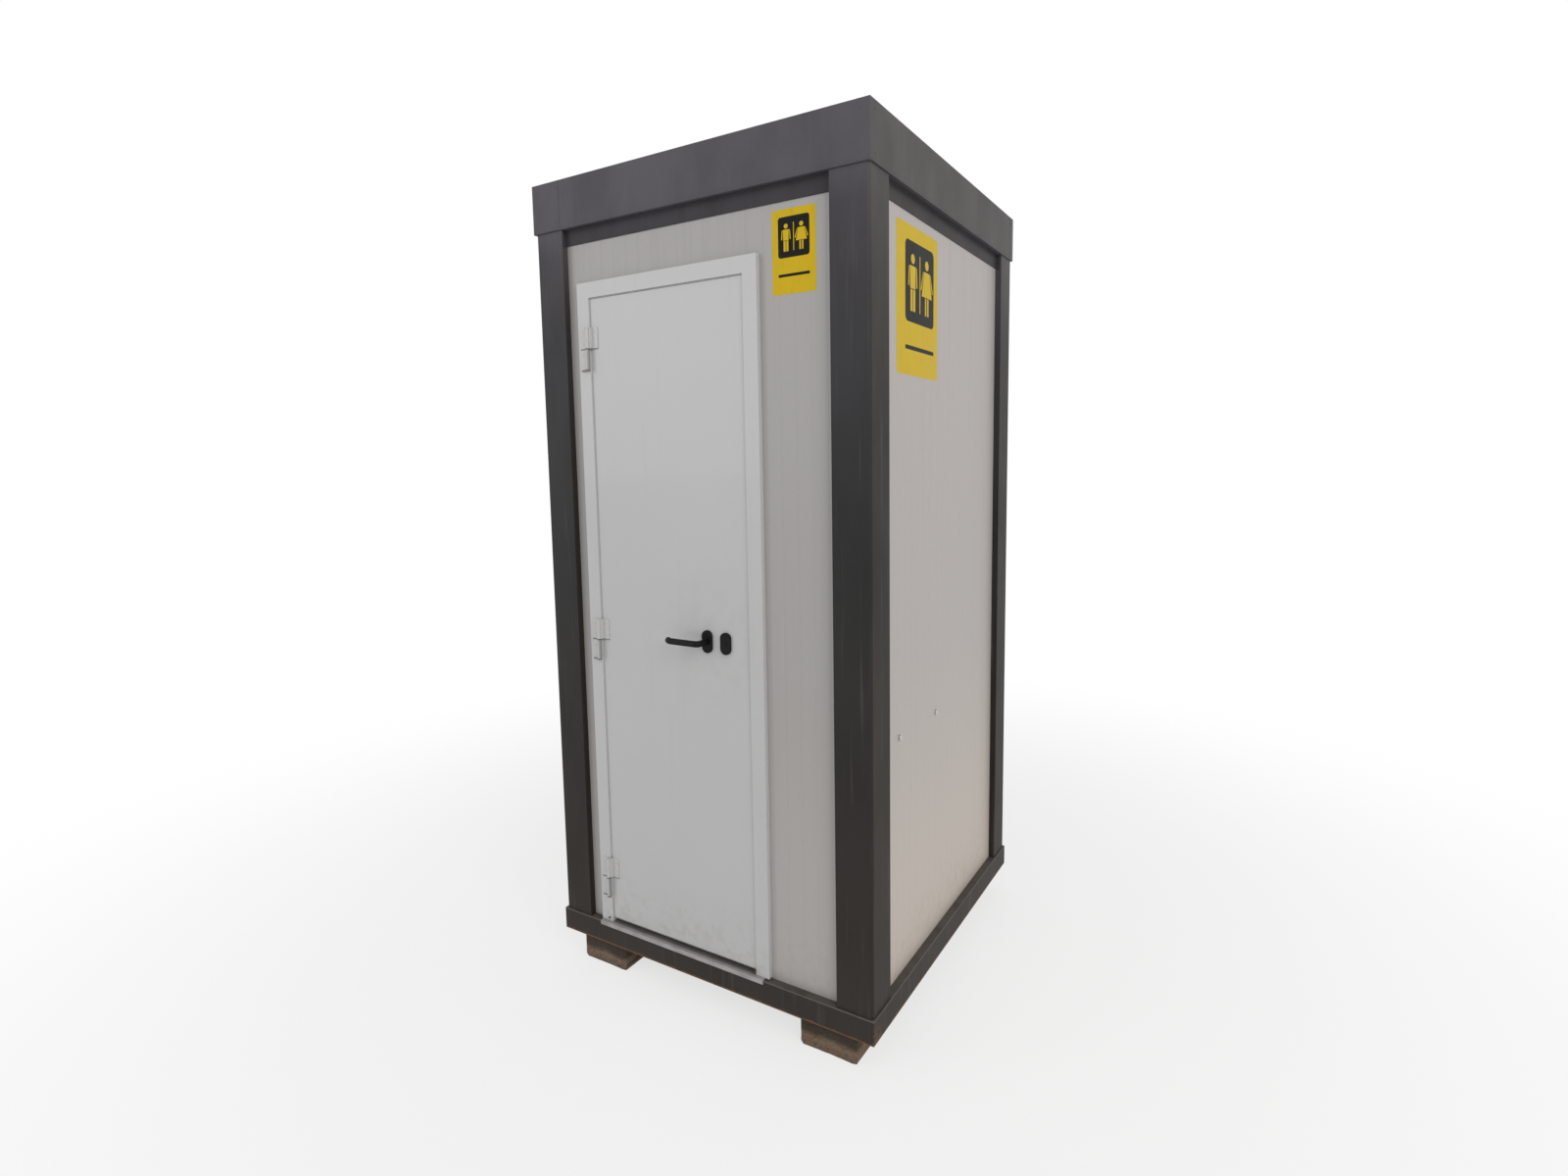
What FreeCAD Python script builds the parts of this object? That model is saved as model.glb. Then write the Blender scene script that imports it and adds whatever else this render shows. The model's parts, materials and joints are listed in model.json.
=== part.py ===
import FreeCAD, Part
import math
import os
import re
import Sketcher

# Portable toilet cabin: a folded-steel frame with sandwich walls, a steel door and its lock,
# and a toilet, a wash basin, a tilting window and the electrics inside.
# Millimetres, +Z up, the front faces -Y, the origin is on the ground under the middle.

doc = FreeCAD.newDocument("toilet_cabin")
sheet = doc.addObject("Spreadsheet::Sheet", "sizes")

# Driving dimensions, one named cell each.
SIZES = {
    # Cabin and ground bearers
    "cabin_width": 1200,
    "cabin_depth": 1200,
    "cabin_height": 2500,
    "skid_height": 100,
    "skid_width": 190,
    "skid_spacing": 880,
    "skid_setback": 25,
    "skid_chamfer": 12,
    # Steel frame
    "steel": 3,
    "base_height": 73,
    "base_rail_width": 130,
    "joist_width": 40,
    "joist_drop": 3,
    "joist_spacing": 240,
    "post_setback": 5,
    "post_width": 115,
    "post_bend": 11,
    "fascia_height": 150,
    "roof_flange": 115,
    "roof_sheet_thickness": 1.5,
    "top_strip_height": 47,
    # Walls, floor and ceiling
    "panel_recess": 22,
    "wall_thickness": 50,
    "floor_thickness": 18,
    "ceiling_thickness": 40,
    "panel_gap": 0.5,
    # Door frame
    "frame_left": -431,
    "frame_width": 680,
    "frame_band": 48,
    "frame_top_above_base": 2107,
    "frame_recess": 5,
    "frame_sheet": 1.5,
    "opening_margin": 4,
    "inner_return_width": 24,
    "stop_width": 12,
    "seal_thickness": 2.7,
    "seal_gap": 0.3,
    "seal_inset": 1,
    "threshold_left_setback": 3,
    "threshold_right_setback": 16,
    "threshold_plate": 4,
    "threshold_lip": 10,
    "threshold_lip_thickness": 3,
    "threshold_stop_width": 15,
    # Door leaf
    "leaf_gap": 3.5,
    "leaf_foot_gap": 16,
    "leaf_recess": 6,
    "leaf_thickness": 40,
    "skin": 0.8,
    # Hinges
    "hinge_height": 135,
    "hinge_plate_thickness": 3,
    "hinge_radius": 6,
    "hinge_pin_radius": 3,
    "running_gap": 0.05,
    "knuckle_gap": 0.5,
    "hinge_web": 4,
    "hinge_pin_inset": 2,
    "hinge_side": 5,
    "hinge_frame_plate": 31,
    "hinge_door_plate": 27,
    "low_hinge_above_base": 162,
    "middle_hinge_above_base": 977,
    "high_hinge_above_base": 1902,
    # Handle and lock
    "handle_above_base": 1012,
    "handle_backset": 150,
    "turn_backset": 82,
    "rosette_width": 36,
    "rosette_height": 69,
    "escutcheon_height": 66,
    "rosette_thickness": 8,
    "spindle": 8,
    "spindle_hole": 6.2,
    "spindle_depth": 15,
    "lever_radius": 9.5,
    "lever_neck": 30,
    "lever_bend": 12,
    "lever_reach": 88,
    "lever_hook": 21,
    "lever_hook_angle": 60,
    "lever_gap": 0.3,
    "turn_radius": 7,
    "turn_neck_radius": 10,
    "turn_neck_length": 6,
    "turn_wing_thickness": 7,
    "turn_wing": 26,
    "turn_reach": 18,
    "coin_slot_width": 1.6,
    "coin_slot_depth": 1,
    "leaf_bore_gap": 1,
    "case_height": 84,
    "case_thickness": 16,
    "case_wall": 2,
    "case_behind_handle": 30,
    "bolt_height": 20,
    "bolt_thickness": 11,
    "bolt_offset": 20,
    "bolt_gap": 0.3,
    "bolt_pocket_depth": 8,
    "latch_throw": 9.5,
    "latch_length": 146,
    "dead_bolt_length": 70,
    "strike_thickness": 1,
    "strike_side_margin": 2,
    "strike_end_margin": 14,
    # Toilet
    "pan_height": 400,
    "pan_length": 640,
    "pan_width": 360,
    "pan_foot_width": 230,
    "pan_foot_setback": 192,
    "pan_waist_height": 180,
    "pan_waist_setback": 141,
    "pan_shoulder_height": 328,
    "pan_shoulder_setback": 19,
    "pan_shoulder_inset": 11,
    "pan_cheek": 0.45,
    "pan_wall": 14,
    "bowl_length": 330,
    "bowl_width": 262,
    "bowl_depth": 190,
    "bowl_front_rim": 38,
    "bowl_waist_depth": 114,
    "bowl_waist_inset": 31,
    "bowl_sump_width": 79,
    "bowl_sump_front": 115,
    "bowl_sump_back": 99,
    "bowl_cheek": 0.6,
    "cistern_width": 370,
    "cistern_depth": 165,
    "cistern_height": 330,
    "cistern_wall": 8,
    "cistern_corner": 16,
    "cistern_gap": 8,
    "cistern_lid_height": 28,
    "cistern_lid_overhang": 4,
    "button_radius": 24,
    "button_height": 10,
    "button_well": 8,
    "button_gap": 0.6,
    "button_travel": 8,
    "seat_thickness": 18,
    "seat_ring": 62,
    "lid_thickness": 14,
    "seat_pin_radius": 6,
    "seat_pin_lift": 16,
    "seat_pin_setback": 60,
    "seat_pin_half_length": 130,
    "seat_overhang": 4,
    "seat_cheek": 0.5,
    "seat_back_gap": 30,
    "seat_boss": 12,
    "seat_knuckle_inside": 70,
    "seat_knuckle_outside": 100,
    "lid_knuckle_inside": 103,
    "lid_knuckle_outside": 128,
    "lid_back_gap": 18,
    "lid_lean": 96,
    "seat_foot_boss": 10,
    "seat_foot_inside": 40,
    "seat_foot_outside": 64,
    "seat_lift": 0.3,
    "seat_gap": 2,
    # Wash basin
    "basin_width": 400,
    "basin_reach": 290,
    "basin_height": 150,
    "basin_rim_above_floor": 800,
    "basin_from_front": 298,
    "basin_wall": 12,
    "basin_deck": 84,
    "basin_bowl_depth": 110,
    "basin_foot_inset": 70,
    "basin_foot_corner": 30,
    "basin_belly_height": 60,
    "basin_belly_inset": 22,
    "basin_belly_corner": 38,
    "basin_rim_corner": 44,
    "basin_floor_inset": 74,
    "basin_slope_inset": 30,
    "basin_deck_slope": 16,
    "basin_hollow_width": 200,
    "basin_bolt_spacing": 283,
    "basin_bolt_drop": 82,
    "basin_bolt_radius": 5,
    "basin_bolt_head": 9,
    "basin_bolt_head_height": 5,
    "basin_bolt_depth": 30,
    "basin_bolt_end_gap": 2,
    "drain_radius": 16,
    "drain_gap": 0.5,
    "drain_recess": 2,
    "trap_drop": 40,
    "trap_nut_radius": 25,
    "trap_nut_height": 14,
    "trap_waste_drop": 40,
    "trap_rose_radius": 32,
    "trap_rose_thickness": 6,
    "trap_radius": 31,
    "trap_height": 120,
    "tap_radius": 21,
    "tap_height": 75,
    "tap_tail_radius": 12.3,
    "tap_tail_gap": 0.3,
    "tap_cap_height": 14,
    "spout_radius": 10,
    "spout_length": 95,
    "spout_height": 45,
    "spout_drop": 17,
    "tap_lever_length": 88,
    "tap_lever_width": 21,
    "tap_lever_thickness": 9,
    # Fittings
    "mirror_width": 350,
    "mirror_height": 450,
    "mirror_thickness": 4,
    "mirror_above_floor": 1000,
    "roll_radius": 55,
    "roll_bore": 20,
    "roll_length": 98,
    "roll_above_floor": 640,
    "roll_from_rear": 430,
    "roll_rod": 8,
    "roll_arm": 68,
    "roll_end_gap": 6,
    "roll_knee_gap": 12,
    "roll_plate_radius": 24,
    "roll_plate_thickness": 5,
    "window_width": 400,
    "window_height": 300,
    "window_above_floor": 1720,
    "window_profile": 34,
    "window_proud": 8,
    "sash_profile": 40,
    "sash_thickness": 30,
    "glass_thickness": 5,
    "sash_lift": 0.3,
    "window_handle_length": 90,
    "window_handle_stand_off": 22,
    "window_hub_radius": 10,
    "window_grip_thickness": 8,
    "window_grip_width": 16,
    "light_radius": 95,
    "light_base": 14,
    "dome_rim_radius": 89,
    "dome_side_radius": 87,
    "dome_side_drop": 19,
    "dome_shoulder_radius": 68,
    "dome_shoulder_drop": 36,
    "dome_crown_radius": 38,
    "dome_height": 42,
    "switch_size": 82,
    "switch_depth": 34,
    "rocker_width": 38,
    "rocker_height": 56,
    "rocker_depth": 9,
    "rocker_gap": 0.5,
    "rocker_end_gap": 2.5,
    "rocker_pivot_depth": 4.5,
    "rocker_thickness": 2.5,
    "rocker_ridge": 2,
    "rocker_raised_end": 4.5,
    "switch_above_floor": 1120,
    "switch_side": 315,
    "inlet_width": 82,
    "inlet_height": 100,
    "inlet_depth": 50,
    "inlet_floor": 8,
    "inlet_bore": 24,
    "inlet_bore_drop": 6,
    "inlet_pin_circle": 12,
    "inlet_pin_radius": 3,
    "inlet_pin_recess": 6,
    "ear_inside": 18,
    "ear_outside": 30,
    "ear_radius": 4,
    "ear_drop": 5,
    "rain_pin_radius": 1.5,
    "rain_lid_thickness": 7,
    "rain_lid_gap": 0.4,
    "rain_lid_width": 76,
    "rain_lid_reach": 42,
    "inlet_above_floor": 2030,
    "inlet_side": -330,
}

# Places that follow from the driving dimensions.
PLACES = {
    "half_width": "cabin_width / 2",
    "half_depth": "cabin_depth / 2",
    "base_bottom": "skid_height",
    "base_top": "base_bottom + base_height",
    "roof_top": "base_bottom + cabin_height",
    "fascia_bottom": "roof_top - fascia_height",
    "floor_top": "base_top + floor_thickness",
    "ceiling_bottom": "fascia_bottom - ceiling_thickness",
    "post_x": "half_width - post_setback",
    "post_y": "half_depth - post_setback",
    "wall_out_x": "post_x - panel_recess",
    "wall_out_y": "post_y - panel_recess",
    "wall_in_x": "wall_out_x - wall_thickness",
    "wall_in_y": "wall_out_y - wall_thickness",
    # Door frame, from its front face back to the stop
    "frame_right": "frame_left + frame_width",
    "frame_top": "base_top + frame_top_above_base",
    "frame_front": "-post_y + frame_recess",
    "clear_left": "frame_left + frame_band",
    "clear_right": "frame_right - frame_band",
    "clear_top": "frame_top - frame_band",
    "stop_face": "leaf_back + seal_gap + seal_thickness",
    "opening_left": "clear_left - opening_margin",
    "opening_right": "clear_right + opening_margin",
    "opening_top": "clear_top + opening_margin",
    # Door leaf
    "leaf_left": "clear_left + leaf_gap",
    "leaf_right": "clear_right - leaf_gap",
    "leaf_top": "clear_top - leaf_gap",
    "leaf_bottom": "base_top + threshold_plate + leaf_foot_gap",
    "leaf_front": "frame_front + leaf_recess",
    "leaf_back": "leaf_front + leaf_thickness",
    "leaf_middle": "leaf_front + leaf_thickness / 2",
    "hinge_x": "clear_left - hinge_side",
    "hinge_y": "frame_front - hinge_radius - 2 * knuckle_gap",
    # Handle and lock
    "handle_x": "leaf_right - handle_backset",
    "handle_z": "base_top + handle_above_base",
    "turn_x": "leaf_right - turn_backset",
    "case_left": "handle_x - case_behind_handle",
    "case_right": "leaf_right - skin",
    "case_front": "leaf_middle - case_thickness / 2",
    "case_back": "leaf_middle + case_thickness / 2",
    "case_bottom": "handle_z - case_height / 2",
    "case_top": "handle_z + case_height / 2",
    "latch_z": "handle_z + bolt_offset",
    "dead_bolt_z": "handle_z - bolt_offset",
    "bolts_bottom": "dead_bolt_z - bolt_height / 2 - bolt_gap",
    "bolts_top": "latch_z + bolt_height / 2 + bolt_gap",
    "strike_face": "clear_right - strike_thickness",
    "outer_rose_face": "leaf_front - rosette_thickness - lever_gap",
    "inner_rose_face": "leaf_back + rosette_thickness + lever_gap",
    # Toilet, standing against the rear wall
    "pan_top": "floor_top + pan_height",
    "pan_back": "wall_in_y - cistern_gap",
    "pan_front": "pan_back - pan_length",
    "pan_half": "pan_width / 2",
    "cistern_front": "pan_back - cistern_depth",
    "cistern_top": "pan_top + cistern_height",
    "cistern_lid_top": "cistern_top + cistern_lid_height",
    "bowl_front": "pan_front + bowl_front_rim",
    "bowl_back": "bowl_front + bowl_length",
    "seat_pin_y": "cistern_front - seat_pin_setback",
    "seat_pin_z": "pan_top + seat_pin_lift",
    "seat_bottom": "pan_top + seat_lift",
    "seat_front": "pan_front - seat_overhang",
    "seat_back": "seat_pin_y - seat_back_gap",
    # Wash basin, hung on the right wall
    "basin_y": "-wall_in_y + basin_from_front",
    "basin_top": "floor_top + basin_rim_above_floor",
    "basin_bottom": "basin_top - basin_height",
    "basin_front": "wall_in_x - basin_reach",
    "bowl_middle_x": "(basin_front + basin_wall + wall_in_x - basin_deck) / 2",
    "basin_bolt_z": "basin_top - basin_bolt_drop",
    "tap_x": "wall_in_x - basin_deck / 2",
    # Fittings
    "roll_z": "floor_top + roll_above_floor",
    "roll_y": "wall_in_y - roll_from_rear",
    "roll_x": "-wall_in_x + roll_arm",
    "window_bottom": "floor_top + window_above_floor",
    "window_top": "window_bottom + window_height",
    "sash_back": "wall_in_y - sash_lift",
    "sash_front": "sash_back - sash_thickness",
    "switch_z": "floor_top + switch_above_floor",
    "inlet_z": "floor_top + inlet_above_floor",
    "inlet_face": "wall_out_y + inlet_depth",
    "socket_z": "inlet_z - inlet_bore_drop",
    "ear_z": "inlet_z + inlet_height / 2 - ear_drop",
    "ear_y": "inlet_face + ear_radius",
}

POSTS = ("front_left", "front_right", "rear_right", "rear_left")
HINGES = ("low", "middle", "high")
TURN_FROM_Z = {
    "x": FreeCAD.Rotation(FreeCAD.Vector(0, 1, 0), 90),
    "y": FreeCAD.Rotation(FreeCAD.Vector(1, 0, 0), -90),
    "z": FreeCAD.Rotation(),
}
PLANE_NORMALS = {"XY_Plane": ("z", 1), "XZ_Plane": ("y", -1), "YZ_Plane": ("x", 1)}

pieces = {}


# Helpers that bind shapes to the sheet

def fill_sheet():
    """Write each driving dimension into its own named cell."""
    for row, (name, size) in enumerate(SIZES.items(), start=1):
        sheet.set("A%d" % row, name.replace("_", " "))
        sheet.set("B%d" % row, str(size))
        sheet.setAlias("B%d" % row, name)
    doc.recompute()


def spell(formula):
    """Spell a formula of size and place names as one on the sheet's cells."""
    def word(match):
        name = match.group(0)
        if name in PLACES:
            return "(" + spell(PLACES[name]) + ")"
        if name in SIZES:
            return "sizes." + name
        raise NameError(name)
    return re.sub(r"[A-Za-z_]\w*", word, str(formula))


def number(formula):
    """The value of a formula now, for shapes that are worked out in code."""
    return float(sheet.evalExpression(spell(formula)))


def numbers(*formulas):
    """The values of several formulas now."""
    return [number(formula) for formula in formulas]


def bind(thing, prop, formula):
    """Tie one property of a document object to a formula."""
    thing.setExpression(prop, spell(formula))


def keep(label, thing):
    """Give a finished sub-part its own label and list it for export."""
    thing.Label = label
    pieces[label] = thing
    return thing


# Helpers that make shapes

def block(name, x, y, z):
    """A block between a low and a high formula along each axis."""
    thing = doc.addObject("Part::Box", name)
    for prop, axis, (low, high) in (("Length", "x", x), ("Width", "y", y), ("Height", "z", z)):
        bind(thing, prop, "(%s) - (%s)" % (high, low))
        bind(thing, "Placement.Base." + axis, low)
    return thing


def rod(name, axis, radius, low, high, **centre):
    """A round bar along one axis, centred by formulas for the two others."""
    thing = doc.addObject("Part::Cylinder", name)
    thing.Placement = FreeCAD.Placement(FreeCAD.Vector(), TURN_FROM_Z[axis])
    bind(thing, "Radius", radius)
    bind(thing, "Height", "(%s) - (%s)" % (high, low))
    bind(thing, "Placement.Base." + axis, low)
    for other, formula in centre.items():
        bind(thing, "Placement.Base." + other, formula)
    return thing


def fused(name, *parts):
    """One solid of several that touch or overlap, or one group of solids that stand apart."""
    thing = doc.addObject("Part::MultiFuse", name)
    thing.Shapes = list(parts)
    thing.Refine = True
    return thing


def cut(name, base, *tools):
    """The base with each tool taken away."""
    thing = doc.addObject("Part::Cut", name)
    thing.Base = base
    thing.Tool = tools[0] if len(tools) == 1 else fused(name + "_tools", *tools)
    return thing


def centred(middle, size):
    """The low and high formulas of a size about its middle."""
    return ("(%s) - (%s) / 2" % (middle, size), "(%s) + (%s) / 2" % (middle, size))


def square_ring(name, half_x, half_y, z):
    """A block centred on the cabin, by its half sizes."""
    return block(name, ("-(%s)" % half_x, half_x), ("-(%s)" % half_y, half_y), z)


def oval_plate(name, middle_x, middle_z, width, height, y):
    """An upright plate with round ends."""
    ends = "(%s) / 2 - (%s) / 2" % (height, width)
    low = "(%s) - (%s)" % (middle_z, ends)
    high = "(%s) + (%s)" % (middle_z, ends)
    radius = "(%s) / 2" % width
    return fused(
        name,
        block(name + "_web", centred(middle_x, width), y, (low, high)),
        rod(name + "_foot", "y", radius, *y, x=middle_x, z=low),
        rod(name + "_head", "y", radius, *y, x=middle_x, z=high),
    )


def portal(name, out, band, y):
    """A three-sided band around the doorway, open at the foot, out beyond the clear opening."""
    outer = block(
        name + "_outer",
        ("clear_left - (%s)" % out, "clear_right + (%s)" % out),
        y,
        ("base_top + threshold_plate", "clear_top + (%s)" % out),
    )
    inner = block(
        name + "_inner",
        ("clear_left - (%s) + (%s)" % (out, band), "clear_right + (%s) - (%s)" % (out, band)),
        y,
        ("base_bottom", "clear_top + (%s) - (%s)" % (out, band)),
    )
    return cut(name, outer, inner)


def origin_plane(body, role):
    """One of a body's own origin planes, by its role."""
    return [item for item in body.Origin.OriginFeatures if item.Role == role][0]


def sketch_on(body, role, outline, name="outline"):
    """A closed sketch on one of the body's origin planes, each corner bound by two formulas."""
    sketch = body.newObject("Sketcher::SketchObject", name)
    sketch.AttachmentSupport = [(origin_plane(body, role), "")]
    sketch.MapMode = "FlatFace"
    corners = [FreeCAD.Vector(number(a), number(b), 0) for a, b in outline]
    for index, corner in enumerate(corners):
        sketch.addGeometry(Part.LineSegment(corner, corners[(index + 1) % len(corners)]), False)
    for index, (a, b) in enumerate(outline):
        following = (index + 1) % len(outline)
        sketch.addConstraint(Sketcher.Constraint("Coincident", index, 2, following, 1))
        for kind, formula in (("DistanceX", a), ("DistanceY", b)):
            place = sketch.addConstraint(Sketcher.Constraint(kind, index, 1, number(formula)))
            bind(sketch, "Constraints[%d]" % place, formula)
    return sketch


def padded(name, role, outline, low, high):
    """A body with one outline drawn out between two formulas along its plane's normal."""
    body = doc.addObject("PartDesign::Body", name)
    pad = body.newObject("PartDesign::Pad", "pad")
    pad.Profile = sketch_on(body, role, outline)
    bind(pad, "Length", "(%s) - (%s)" % (high, low))
    axis, direction = PLANE_NORMALS[role]
    bind(body, "Placement.Base." + axis, low if direction > 0 else high)
    return body


def turned(name, outline, **centre):
    """A body turned about its own upright axis from an outline of radius and height."""
    body = doc.addObject("PartDesign::Body", name)
    sketch = sketch_on(body, "XZ_Plane", outline)
    revolution = body.newObject("PartDesign::Revolution", "revolution")
    revolution.Profile = sketch
    revolution.ReferenceAxis = (sketch, ["V_Axis"])
    revolution.Angle = 360
    for axis, formula in centre.items():
        bind(body, "Placement.Base." + axis, formula)
    return body


def dressed(body, kind, prop, size, chosen):
    """Round or chamfer the body's edges that the test chooses."""
    doc.recompute()
    tip = body.Tip
    names = ["Edge%d" % (n + 1) for n, edge in enumerate(tip.Shape.Edges) if chosen(edge)]
    feature = body.newObject("PartDesign::" + kind, kind.lower())
    feature.Base = (tip, names)
    bind(feature, prop, size)
    return body


def runs_along(edge, axis):
    """Whether an edge is straight and runs along one axis."""
    if len(edge.Vertexes) < 2:
        return False
    step = edge.Vertexes[-1].Point - edge.Vertexes[0].Point
    if abs(step.Length - edge.Length) > 1e-6:
        return False
    return abs(getattr(step, axis)) > 0.999 * edge.Length


# Ground bearers, base and floor

def make_skids():
    """Two timber bearers that run front to back under the base."""
    for side, sign in (("left", "-"), ("right", "")):
        middle = "%sskid_spacing / 2" % sign
        low, high = centred("0", "skid_width")
        outline = ((low, "0"), (high, "0"), (high, "skid_height"), (low, "skid_height"))
        body = padded("skid_" + side, "XZ_Plane", outline,
                      "-half_depth + skid_setback", "half_depth - skid_setback")
        bind(body, "Placement.Base.x", middle)
        top = number("skid_height")
        dressed(body, "Chamfer", "Size", "skid_chamfer",
                lambda edge: runs_along(edge, "x") and edge.BoundBox.ZMax < 0.5 * top)
        keep("skid_" + side, body)


def make_base():
    """A welded ring of open channels with four channel joists across it."""
    z = ("base_bottom", "base_top")
    outer = square_ring("base_outer", "half_width", "half_depth", z)
    groove = square_ring("base_groove", "half_width - steel", "half_depth - steel",
                         ("base_bottom + steel", "base_top - steel"))
    middle = square_ring("base_middle", "half_width - base_rail_width",
                         "half_depth - base_rail_width", z)
    joists = []
    for step in (-1.5, -0.5, 0.5, 1.5):
        name = "joist_%d" % round(2 * step + 4)
        y = centred("joist_spacing * (%s)" % step, "joist_width")
        heights = ("base_bottom + steel", "base_top - joist_drop")
        bar = block(name, ("-half_width + steel", "half_width - steel"), y, heights)
        hollow = block(name + "_hollow", ("-half_width + steel", "half_width - steel"),
                       (y[0] + " + steel", y[1]),
                       (heights[0] + " + steel", heights[1] + " - steel"))
        joists.append(cut(name + "_channel", bar, hollow))
    ring = cut("base_ring", outer, groove, middle)
    keep("base_frame", fused("base_frame", ring, *joists))


def make_floor():
    """The floor board between the walls, its front edge just behind the door frame's return."""
    x = ("-wall_in_x + panel_gap", "wall_in_x - panel_gap")
    y = ("-wall_in_y + frame_sheet + panel_gap", "wall_in_y - panel_gap")
    keep("floor_board", block("floor_board", x, y, ("base_top", "floor_top")))


def make_threshold():
    """A light strip on the base under the doorway, with a lip in front and a stop behind."""
    plate = ("base_top", "base_top + threshold_plate")
    strip_x = ("frame_left + threshold_left_setback", "frame_right - threshold_right_setback")
    front = "-half_depth - threshold_lip_thickness"
    opening_x = ("opening_left + panel_gap", "opening_right - panel_gap")
    between_stops = ("clear_left + stop_width + panel_gap", "clear_right - stop_width - panel_gap")
    step = block("threshold_front", strip_x, (front, "-wall_out_y - panel_gap"), plate)
    inner = block("threshold_inner", opening_x, ("-wall_out_y - panel_gap", "-wall_in_y"), plate)
    lip = block("threshold_lip_bar", strip_x, (front, "-half_depth"),
                ("base_top - threshold_lip", "base_top + threshold_plate"))
    stop = block("threshold_stop", between_stops,
                 ("-wall_in_y - threshold_stop_width", "-wall_in_y"), ("base_top", "floor_top"))
    keep("threshold", fused("threshold", step, inner, lip, stop))


# Posts, roof and walls

def make_posts():
    """Four folded corner posts, each an angle whose lips turn in to the wall panels."""
    outline = (
        ("0", "0"), ("post_width", "0"), ("post_width", "panel_recess"),
        ("post_width - steel", "panel_recess"), ("post_width - steel", "steel"),
        ("steel", "steel"), ("steel", "post_width - steel"),
        ("panel_recess", "post_width - steel"), ("panel_recess", "post_width"),
        ("0", "post_width"),
    )
    for quarter, corner in enumerate(POSTS):
        body = padded("post_" + corner, "XY_Plane", outline, "base_top", "fascia_bottom")
        body.Placement.Rotation = FreeCAD.Rotation(FreeCAD.Vector(0, 0, 1), 90 * quarter)
        bind(body, "Placement.Base.x", "post_x" if "right" in corner else "-post_x")
        bind(body, "Placement.Base.y", "post_y" if "rear" in corner else "-post_y")
        bind(body, "Placement.Base.z", "base_top")
        dressed(body, "Fillet", "Radius", "post_bend - steel",
                lambda edge: stands_at(edge, number("steel")))
        dressed(body, "Fillet", "Radius", "post_bend", lambda edge: stands_at(edge, 0))
        keep("post_" + corner, body)


def stands_at(edge, offset):
    """Whether an upright edge stands this far in from a post's corner on both faces."""
    if not runs_along(edge, "z"):
        return False
    foot = edge.Vertexes[0].Point
    return abs(foot.x - offset) + abs(foot.y - offset) < 1e-6


def make_roof():
    """The welded roof ring with its fascia and the strips that hold the panels' heads."""
    z = ("fascia_bottom", "roof_top")
    outer = square_ring("roof_outer", "half_width", "half_depth", z)
    groove = square_ring("roof_groove", "half_width - steel", "half_depth - steel",
                         ("fascia_bottom + steel", "roof_top - steel"))
    middle = square_ring("roof_middle", "half_width - roof_flange",
                         "half_depth - roof_flange", z)
    strip_z = ("fascia_bottom - top_strip_height", "fascia_bottom")
    strip_x = ("-post_x + post_width", "post_x - post_width")
    strip_y = ("-post_y + post_width", "post_y - post_width")
    strips = [
        block("strip_front", strip_x, ("-wall_out_y - steel", "-wall_out_y"), strip_z),
        block("strip_rear", strip_x, ("wall_out_y", "wall_out_y + steel"), strip_z),
        block("strip_left", ("-wall_out_x - steel", "-wall_out_x"), strip_y, strip_z),
        block("strip_right", ("wall_out_x", "wall_out_x + steel"), strip_y, strip_z),
    ]
    ring = cut("roof_ring", outer, groove, middle)
    keep("roof_frame", fused("roof_frame", ring, *strips))
    keep("roof_sheet", square_ring(
        "roof_sheet", "half_width - steel - panel_gap", "half_depth - steel - panel_gap",
        ("roof_top - steel - roof_sheet_thickness", "roof_top - steel")))
    keep("ceiling_panel", square_ring(
        "ceiling_panel", "wall_in_x - panel_gap", "wall_in_y - panel_gap",
        ("ceiling_bottom", "fascia_bottom")))


def make_walls():
    """Sandwich panels between the base and the roof, with the doorway and the window cut."""
    z = ("base_top", "fascia_bottom")
    side_y = ("-wall_in_y", "wall_in_y")
    front_y = ("-wall_out_y", "-wall_in_y")
    keep("left_wall", block("left_wall", ("-wall_out_x", "-wall_in_x"), side_y, z))
    bolt_holes = [
        rod("bolt_hole_" + end, "x", "basin_bolt_radius + running_gap", "wall_in_x", "wall_out_x",
            y="basin_y %s basin_bolt_spacing / 2" % sign, z="basin_bolt_z")
        for end, sign in (("front", "-"), ("rear", "+"))
    ]
    right = block("right_wall_blank", ("wall_in_x", "wall_out_x"), side_y, z)
    keep("right_wall", cut("right_wall", right, *bolt_holes))
    rear = block("rear_wall_blank", ("-wall_out_x", "wall_out_x"), ("wall_in_y", "wall_out_y"), z)
    window_hole = block("window_hole", centred("0", "window_width"), ("wall_in_y", "wall_out_y"),
                        ("window_bottom", "window_top"))
    keep("rear_wall", cut("rear_wall", rear, window_hole))
    front = block("front_blank", ("-wall_out_x", "opening_right"), front_y, z)
    doorway = block("doorway", ("opening_left", "opening_right"), front_y,
                    ("base_top", "opening_top"))
    keep("front_panel_left", cut("front_panel_left", front, doorway))
    side = block("front_side_blank", ("opening_right + panel_gap", "wall_out_x"), front_y, z)
    bolt_pocket = block("bolt_pocket", ("opening_right", "opening_right + bolt_pocket_depth"),
                        ("case_front", "case_back"), ("bolts_bottom", "bolts_top"))
    keep("front_panel_right", cut("front_panel_right", side, bolt_pocket))


# Door frame, leaf and hinges

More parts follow.
